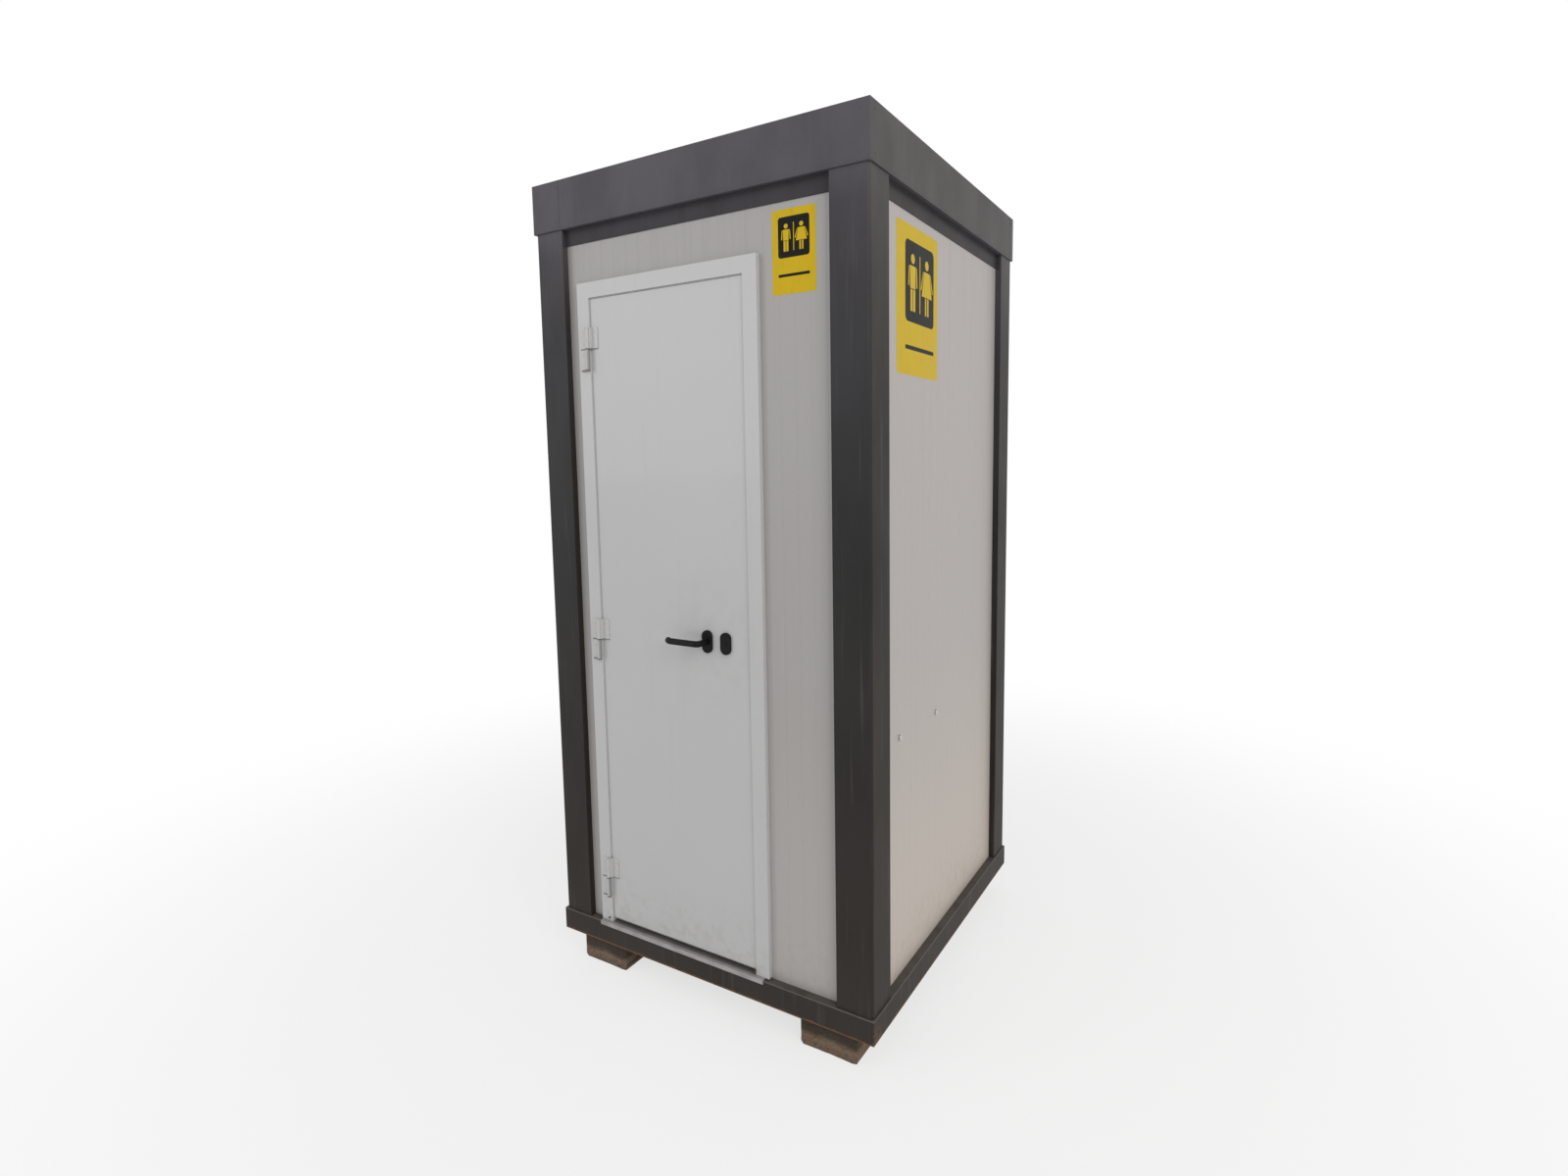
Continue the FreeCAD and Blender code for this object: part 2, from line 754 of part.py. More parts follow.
def make_door_frame():
    """A folded sheet frame: front band, lining, rebate stop and the return on the inner wall."""
    sheet_back = "-wall_in_y + frame_sheet"
    bands = [
        portal("band_face", "frame_band", "frame_band",
               ("frame_front", "frame_front + frame_sheet")),
        portal("band_edge", "frame_band", "frame_sheet", ("frame_front", "-wall_out_y")),
        portal("lining", "frame_sheet", "frame_sheet", ("frame_front", "stop_face + frame_sheet")),
        portal("stop_front", "frame_sheet", "frame_sheet + stop_width",
               ("stop_face", "stop_face + frame_sheet")),
        portal("stop_side", "-stop_width + frame_sheet", "frame_sheet",
               ("stop_face", sheet_back)),
        portal("inner_return", "inner_return_width", "inner_return_width + stop_width",
               ("-wall_in_y", sheet_back)),
    ]
    bolt_window = block("bolt_window", ("clear_right", "clear_right + frame_sheet"),
                        ("case_front", "case_back"), ("bolts_bottom", "bolts_top"))
    keep("door_frame", cut("door_frame", fused("frame_bands", *bands), bolt_window))
    keep("door_seal", portal("door_seal", "-seal_inset", "stop_width - 2 * seal_inset",
                             ("stop_face - seal_thickness", "stop_face")))
    strike = block("strike_blank", ("strike_face", "clear_right"),
                   ("case_front - strike_side_margin", "case_back + strike_side_margin"),
                   ("case_bottom - strike_end_margin", "case_top + strike_end_margin"))
    holes = bolt_slots("strike", ("strike_face", "clear_right"), "2 * bolt_gap")
    keep("strike_plate", cut("strike_plate", strike, *holes))


def bolt_slots(name, x, gap):
    """The slots that the latch and the dead bolt pass through, a gap wider all round."""
    return [
        block("%s_%s_slot" % (name, bolt), x,
              centred("leaf_middle", "bolt_thickness + 2 * %s" % gap),
              centred(z, "bolt_height + 2 * %s" % gap))
        for bolt, z in (("latch", "latch_z"), ("dead_bolt", "dead_bolt_z"))
    ]


def lock_bores(name, y, radius):
    """The two round holes through the leaf for the handle's spindle and the turn's shaft."""
    return [
        rod(name + "_spindle_bore", "y", radius, *y, x="handle_x", z="handle_z"),
        rod(name + "_turn_bore", "y", radius, *y, x="turn_x", z="handle_z"),
    ]


def make_leaf():
    """The leaf: an outer steel tray, an inner steel plate and a light core between them."""
    tray_y = ("leaf_front", "leaf_back - skin")
    plate_y = ("leaf_back - skin", "leaf_back")
    core_y = ("leaf_front + skin", "leaf_back - skin")
    full_x = ("leaf_left", "leaf_right")
    full_z = ("leaf_bottom", "leaf_top")
    inside_x = ("leaf_left + skin", "leaf_right - skin")
    inside_z = ("leaf_bottom + skin", "leaf_top - skin")
    bore = "turn_radius + leaf_bore_gap"
    tray = block("tray_blank", full_x, tray_y, full_z)
    hollow = block("tray_hollow", inside_x, core_y, inside_z)
    slots = bolt_slots("tray", ("leaf_right - skin", "leaf_right"), "bolt_gap")
    keep("door_outer_skin", cut("door_outer_skin", tray, hollow, *slots,
                                *lock_bores("tray", tray_y, bore)))
    plate = block("plate_blank", full_x, plate_y, full_z)
    keep("door_inner_skin", cut("door_inner_skin", plate, *lock_bores("plate", plate_y, bore)))
    core = block("core_blank", inside_x, core_y, inside_z)
    pocket = block("lock_pocket", ("case_left - bolt_gap", "case_right"),
                   ("case_front", "case_back"),
                   ("case_bottom - bolt_gap", "case_top + bolt_gap"))
    keep("door_core", cut("door_core", core, pocket, *lock_bores("core", core_y, bore)))


def make_hinges():
    """Three lift-off hinges: frame plate with the lower knuckle, door plate with the upper."""
    made = [one_hinge(name) for name in HINGES]
    for label, group in zip(("hinge_frame_plates", "hinge_door_plates", "hinge_pins"), zip(*made)):
        keep(label, fused(label, *group))


def one_hinge(name):
    """The frame half, the door half and the pin of one hinge."""
    middle = "base_top + %s_hinge_above_base" % name
    low, high = centred(middle, "hinge_height")
    split = "%s + knuckle_gap" % middle
    bore = "hinge_pin_radius + running_gap"
    axis = {"x": "hinge_x", "y": "hinge_y"}
    plate_y = ("frame_front - hinge_plate_thickness", "frame_front")
    arm_front = "hinge_y + hinge_radius - hinge_web"

    plate = block("frame_plate_" + name, ("hinge_x - hinge_frame_plate", "hinge_x"), plate_y,
                  (low, high))
    relief = block("upper_relief_" + name, ("hinge_x - hinge_radius - 2 * knuckle_gap", "hinge_x"),
                   plate_y, (middle, high))
    flat = cut("frame_flat_" + name, plate, relief)
    knuckle = rod("frame_knuckle_" + name, "z", "hinge_radius", low, middle, **axis)
    hole = rod("frame_hole_" + name, "z", bore, low, middle, **axis)
    frame_half = cut("frame_hinge_" + name, fused("frame_leaf_" + name, flat, knuckle), hole)

    web_x = ("leaf_left + knuckle_gap", "leaf_left + knuckle_gap + hinge_web")
    flat = block("door_plate_" + name, ("leaf_left + knuckle_gap", "leaf_left + hinge_door_plate"),
                 ("leaf_front - hinge_plate_thickness", "leaf_front"), (split, high))
    web = block("door_web_" + name, web_x, (arm_front, "leaf_front"), (split, high))
    arm = block("door_arm_" + name, ("hinge_x", web_x[1]),
                (arm_front, "frame_front - knuckle_gap"), (split, high))
    knuckle = rod("door_knuckle_" + name, "z", "hinge_radius", split, high, **axis)
    hole = rod("door_hole_" + name, "z", bore, split, high, **axis)
    door_half = cut("door_hinge_" + name, fused("door_leaf_" + name, flat, web, arm, knuckle), hole)

    pin = rod("hinge_pin_" + name, "z", "hinge_pin_radius",
              "(%s) + hinge_pin_inset" % low, "(%s) - hinge_pin_inset" % high, **axis)
    return frame_half, door_half, pin


# Handle and lock

def make_roses():
    """Oval roses on both faces of the leaf, round the spindle and round the turn."""
    faces = {
        "outer": ("leaf_front - rosette_thickness", "leaf_front"),
        "inner": ("leaf_back", "leaf_back + rosette_thickness"),
    }
    rosettes, escutcheons = [], []
    for side, y in faces.items():
        plate = oval_plate("rose_" + side, "handle_x", "handle_z",
                           "rosette_width", "rosette_height", y)
        hole = rod("rose_hole_" + side, "y", "spindle_hole", *y, x="handle_x", z="handle_z")
        rosettes.append(cut("rosette_" + side, plate, hole))
        plate = oval_plate("shield_" + side, "turn_x", "handle_z",
                           "rosette_width", "escutcheon_height", y)
        hole = rod("shield_hole_" + side, "y", "turn_radius + running_gap", *y,
                   x="turn_x", z="handle_z")
        escutcheons.append(cut("escutcheon_" + side, plate, hole))
    keep("rosettes", fused("rosettes", *rosettes))
    keep("escutcheons", fused("escutcheons", *escutcheons))


def lever(name, face, away):
    """A round lever: out of its rose, round a bend, along towards the hinges and hooked back."""
    neck, bend, reach, hook = numbers("lever_neck", "lever_bend", "lever_reach", "lever_hook")
    swing = math.radians(number("lever_hook_angle"))

    def at(x, y):
        """A point of the lever's middle line, y counted away from the leaf."""
        return FreeCAD.Vector(x, away * y, 0)

    def on_bend(turn):
        """A point of the bend, after a turn from the neck's direction."""
        return at(bend * (math.cos(turn) - 1), neck + bend * math.sin(turn))

    def on_hook(turn):
        """A point of the hook, after a turn back towards the leaf."""
        radius = hook / math.sin(swing)
        return at(-bend - reach - radius * math.sin(turn),
                  neck + bend - radius * (1 - math.cos(turn)))

    body = doc.addObject("PartDesign::Body", name)
    profile = body.newObject("Sketcher::SketchObject", "profile")
    profile.AttachmentSupport = [(origin_plane(body, "XZ_Plane"), "")]
    profile.MapMode = "FlatFace"
    circle = Part.Circle(FreeCAD.Vector(), FreeCAD.Vector(0, 0, 1), number("lever_radius"))
    profile.addGeometry(circle, False)
    profile.addConstraint(Sketcher.Constraint("Coincident", 0, 3, -1, 1))
    radius = profile.addConstraint(Sketcher.Constraint("Radius", 0, number("lever_radius")))
    bind(profile, "Constraints[%d]" % radius, "lever_radius")
    spine = body.newObject("Sketcher::SketchObject", "spine")
    spine.AttachmentSupport = [(origin_plane(body, "XY_Plane"), "")]
    spine.MapMode = "FlatFace"
    quarter = math.pi / 2
    spine.addGeometry(Part.LineSegment(at(0, 0), on_bend(0)), False)
    spine.addGeometry(Part.Arc(on_bend(0), on_bend(quarter / 2), on_bend(quarter)), False)
    spine.addGeometry(Part.LineSegment(on_bend(quarter), on_hook(0)), False)
    spine.addGeometry(Part.Arc(on_hook(0), on_hook(swing / 2), on_hook(swing)), False)
    pipe = body.newObject("PartDesign::AdditivePipe", "pipe")
    pipe.Profile = profile
    pipe.Spine = (spine, ["Edge1", "Edge2", "Edge3", "Edge4"])
    bind(body, "Placement.Base.x", "handle_x")
    bind(body, "Placement.Base.y", face)
    bind(body, "Placement.Base.z", "handle_z")
    return body


def make_handle():
    """Both levers on one square spindle through the lock case."""
    outer_end = "outer_rose_face - spindle_depth"
    inner_end = "inner_rose_face + spindle_depth"
    slot = "spindle + 2 * running_gap"
    for name, face, away, y in (
        ("outer_lever", "outer_rose_face", -1, (outer_end, "outer_rose_face")),
        ("inner_lever", "inner_rose_face", 1, ("inner_rose_face", inner_end)),
    ):
        square = block(name + "_socket", centred("handle_x", slot), y, centred("handle_z", slot))
        keep(name, cut(name, lever(name + "_bar", face, away), square))
    keep("spindle", block("spindle", centred("handle_x", "spindle"), (outer_end, inner_end),
                          centred("handle_z", "spindle")))


def make_lock():
    """The long lock case with its latch and dead bolt, and the turn that throws the bolt."""
    case = block("case_blank", ("case_left", "case_right"), ("case_front", "case_back"),
                 ("case_bottom", "case_top"))
    hollow = block("case_hollow", ("case_left + case_wall", "case_right - case_wall"),
                   ("case_front + case_wall", "case_back - case_wall"),
                   ("case_bottom + case_wall", "case_top - case_wall"))
    slots = bolt_slots("case", ("case_right - case_wall", "case_right"), "bolt_gap")
    bores = lock_bores("case", ("case_front", "case_back"), "turn_radius + running_gap")
    keep("lock_case", cut("lock_case", case, hollow, *slots, *bores))
    bolt_y = centred("leaf_middle", "bolt_thickness")
    latch_tip = "leaf_right + latch_throw"
    keep("latch_bolt", block("latch_bolt", (latch_tip + " - latch_length", latch_tip),
                             bolt_y, centred("latch_z", "bolt_height")))
    keep("dead_bolt", block("dead_bolt", ("leaf_right - dead_bolt_length", "leaf_right - skin"),
                            bolt_y, centred("dead_bolt_z", "bolt_height")))
    coin_face = "leaf_front - rosette_thickness - coin_slot_depth"
    shaft = rod("turn_shaft", "y", "turn_radius", coin_face, "inner_rose_face",
                x="turn_x", z="handle_z")
    neck = rod("turn_neck", "y", "turn_neck_radius", "inner_rose_face",
               "inner_rose_face + turn_neck_length", x="turn_x", z="handle_z")
    wing = block("turn_wing_bar", centred("turn_x", "turn_wing_thickness"),
                 ("inner_rose_face", "inner_rose_face + turn_reach"),
                 centred("handle_z", "turn_wing"))
    coin = block("coin_slot", centred("turn_x", "coin_slot_width"),
                 (coin_face, coin_face + " + 2 * coin_slot_depth"),
                 centred("handle_z", "turn_radius * 2"))
    keep("thumbturn", cut("thumbturn", fused("turn_parts", shaft, neck, wing), coin))


# Toilet

def egg(z, half, front, back, cheek):
    """A level outline with a square back and an elliptical front, which takes a cheek's share."""
    split = front + (back - front) * cheek
    middle = FreeCAD.Vector(0, split, z)
    tip = FreeCAD.Vector(0, front, z)
    right = FreeCAD.Vector(half, split, z)
    left = FreeCAD.Vector(-half, split, z)
    if split - front > half:
        ellipse = Part.Ellipse(tip, right, middle)
    else:
        ellipse = Part.Ellipse(right, tip, middle)
    start, crown, end = (ellipse.parameter(point) for point in (left, tip, right))
    nose = [ellipse_part(ellipse, start, crown), ellipse_part(ellipse, crown, end)]
    corners = [right, FreeCAD.Vector(half, back, z), FreeCAD.Vector(-half, back, z), left]
    sides = [Part.makeLine(corners[n], corners[n + 1]) for n in range(3)]
    return Part.Wire(Part.__sortEdges__(nose + sides))


def ellipse_part(ellipse, start, end):
    """The shorter stretch of an ellipse between two of its parameters."""
    turn = 2 * math.pi
    if (end - start) % turn > turn / 2:
        start, end = end, start
    return ellipse.toShape(start, start + (end - start) % turn)


def box_pair(inside, outside, y, z):
    """Two equal boxes, one each side of the middle plane."""
    size = (outside - inside, y[1] - y[0], z[1] - z[0])
    return [Part.makeBox(*size, FreeCAD.Vector(low, y[0], z[0])) for low in (inside, -outside)]


def barrel_pair(inside, outside, radius, y, z):
    """Two equal round bosses along X, one each side of the middle plane."""
    along = FreeCAD.Vector(1, 0, 0)
    return [Part.makeCylinder(radius, outside - inside, FreeCAD.Vector(low, y, z), along)
            for low in (inside, -outside)]


def shaped(name, shape):
    """A document object that holds a shape worked out in code."""
    thing = doc.addObject("Part::Feature", name)
    thing.Shape = shape
    return thing


def make_pan():
    """The ceramic pan: a foot that swells to an egg-shaped rim, hollow below, with its bowl."""
    floor, top, front, back = numbers("floor_top", "pan_top", "pan_front", "pan_back")
    half, foot, wall = numbers("pan_half", "pan_foot_width / 2", "pan_wall")
    cheek = number("pan_cheek")
    foot_front = front + number("pan_foot_setback")
    waist_z = floor + number("pan_waist_height")
    shoulder_z = floor + number("pan_shoulder_height")
    body = Part.makeLoft([
        egg(floor, foot, foot_front, back, cheek),
        egg(waist_z, foot, front + number("pan_waist_setback"), back, cheek),
        egg(shoulder_z, half - number("pan_shoulder_inset"),
            front + number("pan_shoulder_setback"), back, cheek),
        egg(top, half, front, back, cheek),
    ], True, False)

    bowl_front, bowl_back = numbers("bowl_front", "bowl_back")
    bowl_half, depth = numbers("bowl_width / 2", "bowl_depth")
    cheek = number("bowl_cheek")
    inset = number("bowl_waist_inset")
    bowl = Part.makeLoft([
        egg(top, bowl_half, bowl_front, bowl_back, cheek),
        egg(top - number("bowl_waist_depth"), bowl_half - inset, bowl_front + inset,
            bowl_back - inset, cheek),
        egg(top - depth, number("bowl_sump_width / 2"), bowl_front + number("bowl_sump_front"),
            bowl_back - number("bowl_sump_back"), cheek),
    ], True, False)

    cheek = number("pan_cheek")
    under = Part.makeLoft([
        egg(z, foot - wall, foot_front + wall, back - wall, cheek)
        for z in (floor, top - depth - 2 * wall)
    ], True, False)
    behind = Part.makeBox(
        2 * (foot - wall), back - bowl_back - 3 * wall, top - floor - wall,
        FreeCAD.Vector(wall - foot, bowl_back + 2 * wall, floor))
    keep("wc_pan", shaped("wc_pan", body.cut([bowl, under, behind])))


def make_cistern():
    """The ceramic cistern on the pan's back, its lid with a well, and the push button."""
    x = centred("0", "cistern_width")
    y = ("cistern_front", "pan_back")
    outline = ((x[0], y[0]), (x[1], y[0]), (x[1], y[1]), (x[0], y[1]))
    tank = padded("cistern_tank", "XY_Plane", outline, "pan_top", "cistern_top")
    dressed(tank, "Fillet", "Radius", "cistern_corner", lambda edge: runs_along(edge, "z"))
    hollow = block("cistern_hollow", (x[0] + " + cistern_wall", x[1] + " - cistern_wall"),
                   ("cistern_front + cistern_wall", "pan_back - cistern_wall"),
                   ("pan_top + cistern_wall", "cistern_top"))
    keep("cistern", cut("cistern", tank, hollow))
    x = centred("0", "cistern_width + 2 * cistern_lid_overhang")
    y = ("cistern_front - cistern_lid_overhang", "pan_back")
    outline = ((x[0], y[0]), (x[1], y[0]), (x[1], y[1]), (x[0], y[1]))
    cover = padded("lid_blank", "XY_Plane", outline, "cistern_top", "cistern_lid_top")
    dressed(cover, "Fillet", "Radius", "cistern_corner / 2", lambda edge: runs_along(edge, "z"))
    middle = {"x": "0", "y": "(cistern_front + pan_back) / 2"}
    button_z = ("cistern_lid_top - button_well", "cistern_lid_top - button_well + button_height")
    well = rod("button_well", "z", "button_radius + button_gap",
               "cistern_lid_top - button_well - button_travel", "cistern_lid_top", **middle)
    keep("cistern_lid", cut("cistern_lid", cover, well))
    keep("flush_button", rod("flush_button", "z", "button_radius", *button_z, **middle))


def make_seat():
    """The seat ring, down on the pan, with two arms to the knuckles on its pin."""
    bottom, thick, band = numbers("seat_bottom", "seat_thickness", "seat_ring")
    half, front, back = numbers("pan_half + seat_overhang", "seat_front", "seat_back")
    pin_y, pin_z, boss = numbers("seat_pin_y", "seat_pin_z", "seat_boss")
    inside, outside = numbers("seat_knuckle_inside", "seat_knuckle_outside")
    outer = Part.Face(egg(bottom, half, front, back, number("seat_cheek")))
    inner = Part.Face(egg(bottom, half - band, front + band, back - band, number("bowl_cheek")))
    ring = outer.cut(inner).extrude(FreeCAD.Vector(0, 0, thick))
    arms = box_pair(inside, outside, (back - band, pin_y), (bottom, bottom + thick))
    knuckles = barrel_pair(inside, outside, boss, pin_y, pin_z)
    seat = ring.fuse(arms + knuckles).cut(seat_relief(bottom))
    keep("wc_seat", shaped("wc_seat", seat.removeSplitter()))


def make_seat_lid():
    """The lid, leaning back on the cistern, with its own two knuckles on the seat's pin."""
    bottom, thick = numbers("seat_bottom + seat_thickness + seat_gap", "lid_thickness")
    half, front = numbers("pan_half + seat_overhang", "seat_front")
    pin_y, pin_z, boss = numbers("seat_pin_y", "seat_pin_z", "seat_boss")
    inside, outside = numbers("lid_knuckle_inside", "lid_knuckle_outside")
    back = pin_y - boss - number("lid_back_gap")
    face = Part.Face(egg(bottom, half, front, back, number("seat_cheek")))
    plate = face.extrude(FreeCAD.Vector(0, 0, thick))
    arms = box_pair(inside, outside, (back - boss, pin_y), (bottom, bottom + thick))
    knuckles = barrel_pair(inside, outside, boss, pin_y, pin_z)
    lid = plate.fuse(arms + knuckles).cut(seat_relief(number("seat_bottom")))
    lid = lid.removeSplitter()
    lid.rotate(FreeCAD.Vector(0, pin_y, pin_z), FreeCAD.Vector(1, 0, 0), -number("lid_lean"))
    keep("wc_lid", shaped("wc_lid", lid))


def seat_relief(bottom):
    """What the seat and its lid leave free: the pan's top below them and the pin's bore."""
    wide, pin_y, pin_z = numbers("2 * pan_width", "seat_pin_y", "seat_pin_z")
    bore = number("seat_pin_radius + running_gap")
    below = Part.makeBox(2 * wide, 2 * wide, pin_z - bottom + wide,
                         FreeCAD.Vector(-wide, pin_y - wide, bottom - (pin_z - bottom + wide)))
    hole = Part.makeCylinder(bore, 2 * wide, FreeCAD.Vector(-wide, pin_y, pin_z),
                             FreeCAD.Vector(1, 0, 0))
    return [below, hole]


def make_seat_pin():
    """The pin that the seat and the lid turn on, with its two feet on the pan."""
    pan_top, pin_y, pin_z = numbers("pan_top", "seat_pin_y", "seat_pin_z")
    radius, boss, half = numbers("seat_pin_radius", "seat_foot_boss", "seat_pin_half_length")
    inside, outside = numbers("seat_foot_inside", "seat_foot_outside")
    pin = Part.makeCylinder(radius, 2 * half, FreeCAD.Vector(-half, pin_y, pin_z),
                            FreeCAD.Vector(1, 0, 0))
    feet = box_pair(inside, outside, (pin_y - boss, pin_y + boss), (pan_top, pin_z))
    bosses = barrel_pair(inside, outside, boss, pin_y, pin_z)
    pin = pin.fuse(feet + bosses).removeSplitter()
    keep("seat_hinge_pin", shaped("seat_hinge_pin", pin))


# Wash basin

def rounded_slab(z, x, y, radius):
    """A level rectangle with round corners, as a wire."""
    half_turn = math.radians(45)
    lines = []
    corners = [(x[0], y[0]), (x[1], y[0]), (x[1], y[1]), (x[0], y[1])]
    middles = [(x[0] + radius, y[0] + radius), (x[1] - radius, y[0] + radius),
               (x[1] - radius, y[1] - radius), (x[0] + radius, y[1] - radius)]
    spots = []
    for (cx, cy), (mx, my) in zip(corners, middles):
        tip = FreeCAD.Vector(mx + (cx - mx) * math.cos(half_turn),
                             my + (cy - my) * math.sin(half_turn), z)
        spots.append((FreeCAD.Vector(cx, my, z), FreeCAD.Vector(mx, cy, z), tip))
    for index, (on_x, on_y, tip) in enumerate(spots):
        start, end = (on_x, on_y) if index % 2 == 0 else (on_y, on_x)
        following = spots[(index + 1) % 4]
        lines.append(Part.Arc(start, tip, end).toShape())
        lines.append(Part.makeLine(end, following[1] if index % 2 == 0 else following[0]))
    return Part.Wire(lines)


def make_basin():
    """The hand basin on the right wall, with its bowl, its drain hole and its tap hole."""
    front, back, deck = numbers("basin_front", "wall_in_x", "wall_in_x - basin_deck")
    middle, half, wall = numbers("basin_y", "basin_width / 2", "basin_wall")
    top, bottom = numbers("basin_top", "basin_bottom")

    def section(z, inset, corner):
        """A level section of the outside, set in from the rim all round but at the wall."""
        return rounded_slab(z, (front + inset, back),
                            (middle - half + inset, middle + half - inset), corner)

    def bowl_section(z, inset, deck_inset, corner):
        """A level section of the bowl, set in from its rim."""
        side = half - wall - inset
        return rounded_slab(z, (front + wall + inset, deck - deck_inset),
                            (middle - side, middle + side), corner)

    foot, belly = numbers("basin_foot_inset", "basin_belly_inset")
    foot_corner, belly_corner, rim_corner = numbers("basin_foot_corner", "basin_belly_corner",
                                                    "basin_rim_corner")
    outside = Part.makeLoft([
        section(bottom, foot, foot_corner),
        section(bottom + number("basin_belly_height"), belly, belly_corner),
        section(top, 0, rim_corner),
    ], True, True)
    bowl_floor = top - number("basin_bowl_depth")
    inside = Part.makeLoft([
        bowl_section(bowl_floor, number("basin_floor_inset"), number("basin_deck_slope"),
                     foot_corner),
        bowl_section(bowl_floor + number("basin_belly_height"), number("basin_slope_inset"),
                     number("basin_deck_slope") / 2, belly_corner),
        bowl_section(top, 0, 0, rim_corner - wall / 2),
    ], True, True)
    up = FreeCAD.Vector(0, 0, 1)
    drain = Part.makeCylinder(number("drain_radius"), top - bottom,
                              FreeCAD.Vector(number("bowl_middle_x"), middle, bottom), up)
    tap_hole = Part.makeCylinder(number("tap_tail_radius + tap_tail_gap"), top - bottom,
                                 FreeCAD.Vector(number("tap_x"), middle, bottom), up)
    hollow = number("basin_hollow_width")
    relief = Part.makeBox(back - deck - 2 * wall, hollow, top - bottom - 2 * wall,
                          FreeCAD.Vector(deck + wall, middle - hollow / 2, bottom))
    depth, spacing, bolt_z = numbers("basin_bolt_depth", "basin_bolt_spacing", "basin_bolt_z")
    sockets = [
        Part.makeCylinder(number("basin_bolt_radius + running_gap"), depth,
                          FreeCAD.Vector(back - depth, middle + side * spacing / 2, bolt_z),
                          FreeCAD.Vector(1, 0, 0))
        for side in (-1, 1)
    ]
    basin = outside.cut([inside, drain, tap_hole, relief] + sockets)
    keep("wash_basin", shaped("wash_basin", basin))


def make_basin_bolts():
    """The two bolts through the right wall that carry the basin."""
    bolts = []
    for end, sign in (("front", "-"), ("rear", "+")):
        place = {"y": "basin_y %s basin_bolt_spacing / 2" % sign, "z": "basin_bolt_z"}
        shank = rod("bolt_shank_" + end, "x", "basin_bolt_radius",
                    "wall_in_x - basin_bolt_depth + basin_bolt_end_gap", "wall_out_x", **place)
        head = rod("bolt_head_" + end, "x", "basin_bolt_head", "wall_out_x",
                   "wall_out_x + basin_bolt_head_height", **place)
        bolts.append(fused("basin_bolt_" + end, shank, head))
    keep("basin_bolts", fused("basin_bolts", *bolts))


def make_tap():
    """A pillar tap with a spout over the bowl, and the lever that turns on its top."""
    upright = {"x": "tap_x", "y": "basin_y"}
    spout_z = "basin_top + spout_height"
    spout_x = "tap_x - spout_length"
    pillar = rod("tap_pillar", "z", "tap_radius", "basin_top", "basin_top + tap_height", **upright)
    tail = rod("tap_tail", "z", "tap_tail_radius", "basin_top - basin_wall", "basin_top",
               **upright)
    spout = rod("tap_spout", "x", "spout_radius", spout_x, "tap_x", y="basin_y", z=spout_z)
    nose = rod("tap_nose", "z", "spout_radius", spout_z + " - spout_drop", spout_z,
               x=spout_x, y="basin_y")
    keep("tap_body", fused("tap_body", pillar, tail, spout, nose))
    lever_z = "basin_top + tap_height + lever_gap"
    cap_top = lever_z + " + tap_cap_height"
    cap = rod("tap_cap", "z", "tap_radius", lever_z, cap_top, **upright)
    bar = block("tap_bar", ("tap_x - tap_lever_length", "tap_x"),
                centred("basin_y", "tap_lever_width"),
                (cap_top + " - tap_lever_thickness", cap_top))
    keep("tap_lever", fused("tap_lever", cap, bar))


def make_trap():
    """The bottle trap below the basin's drain, with its waste pipe into the right wall."""
    drain = {"x": "bowl_middle_x", "y": "basin_y"}
    trap_top = "basin_bottom - trap_drop"
    waste = {"y": "basin_y", "z": trap_top + " - trap_waste_drop"}
    tail = rod("trap_tail", "z", "drain_radius - drain_gap", trap_top,
               "basin_top - basin_bowl_depth - drain_recess", **drain)
    nut = rod("trap_nut", "z", "trap_nut_radius", "basin_bottom - trap_nut_height",
              "basin_bottom", **drain)
    bottle = rod("trap_bottle", "z", "trap_radius", trap_top + " - trap_height", trap_top, **drain)
    pipe = rod("trap_waste", "x", "drain_radius", "bowl_middle_x", "wall_in_x", **waste)
    rose = rod("trap_rose", "x", "trap_rose_radius", "wall_in_x - trap_rose_thickness",
               "wall_in_x", **waste)
    keep("basin_trap", fused("basin_trap", tail, nut, bottle, pipe, rose))


# Fittings on the walls and the ceiling

def make_mirror():
    """The mirror on the right wall above the basin."""
    keep("mirror", block("mirror", ("wall_in_x - mirror_thickness", "wall_in_x"),
                         centred("basin_y", "mirror_width"),
                         ("floor_top + mirror_above_floor",
                          "floor_top + mirror_above_floor + mirror_height")))


def make_roll():
    """The paper holder on the left wall, a bar bent round at a knee, and the roll on it."""
    roll_y = centred("roll_y", "roll_length")
    rod_z = "roll_z + roll_bore - roll_rod - lever_gap"
    knee_y = roll_y[1] + " + roll_knee_gap"
    place = {"y": knee_y, "z": rod_z}
    bar = rod("roll_bar", "y", "roll_rod", roll_y[0] + " - roll_end_gap", knee_y,
              x="roll_x", z=rod_z)
    arm = rod("roll_arm_bar", "x", "roll_rod", "-wall_in_x", "roll_x", **place)
    plate = rod("roll_plate", "x", "roll_plate_radius", "-wall_in_x",
                "-wall_in_x + roll_plate_thickness", **place)
    knee = doc.addObject("Part::Sphere", "roll_knee")
    bind(knee, "Radius", "roll_rod")
    bind(knee, "Placement.Base.x", "roll_x")
    bind(knee, "Placement.Base.y", knee_y)
    bind(knee, "Placement.Base.z", rod_z)
    keep("roll_holder", fused("roll_holder", bar, arm, knee, plate))
    paper = rod("paper", "y", "roll_radius", *roll_y, x="roll_x", z="roll_z")
    tube = rod("paper_bore", "y", "roll_bore", *roll_y, x="roll_x", z="roll_z")
    keep("toilet_roll", cut("toilet_roll", paper, tube))


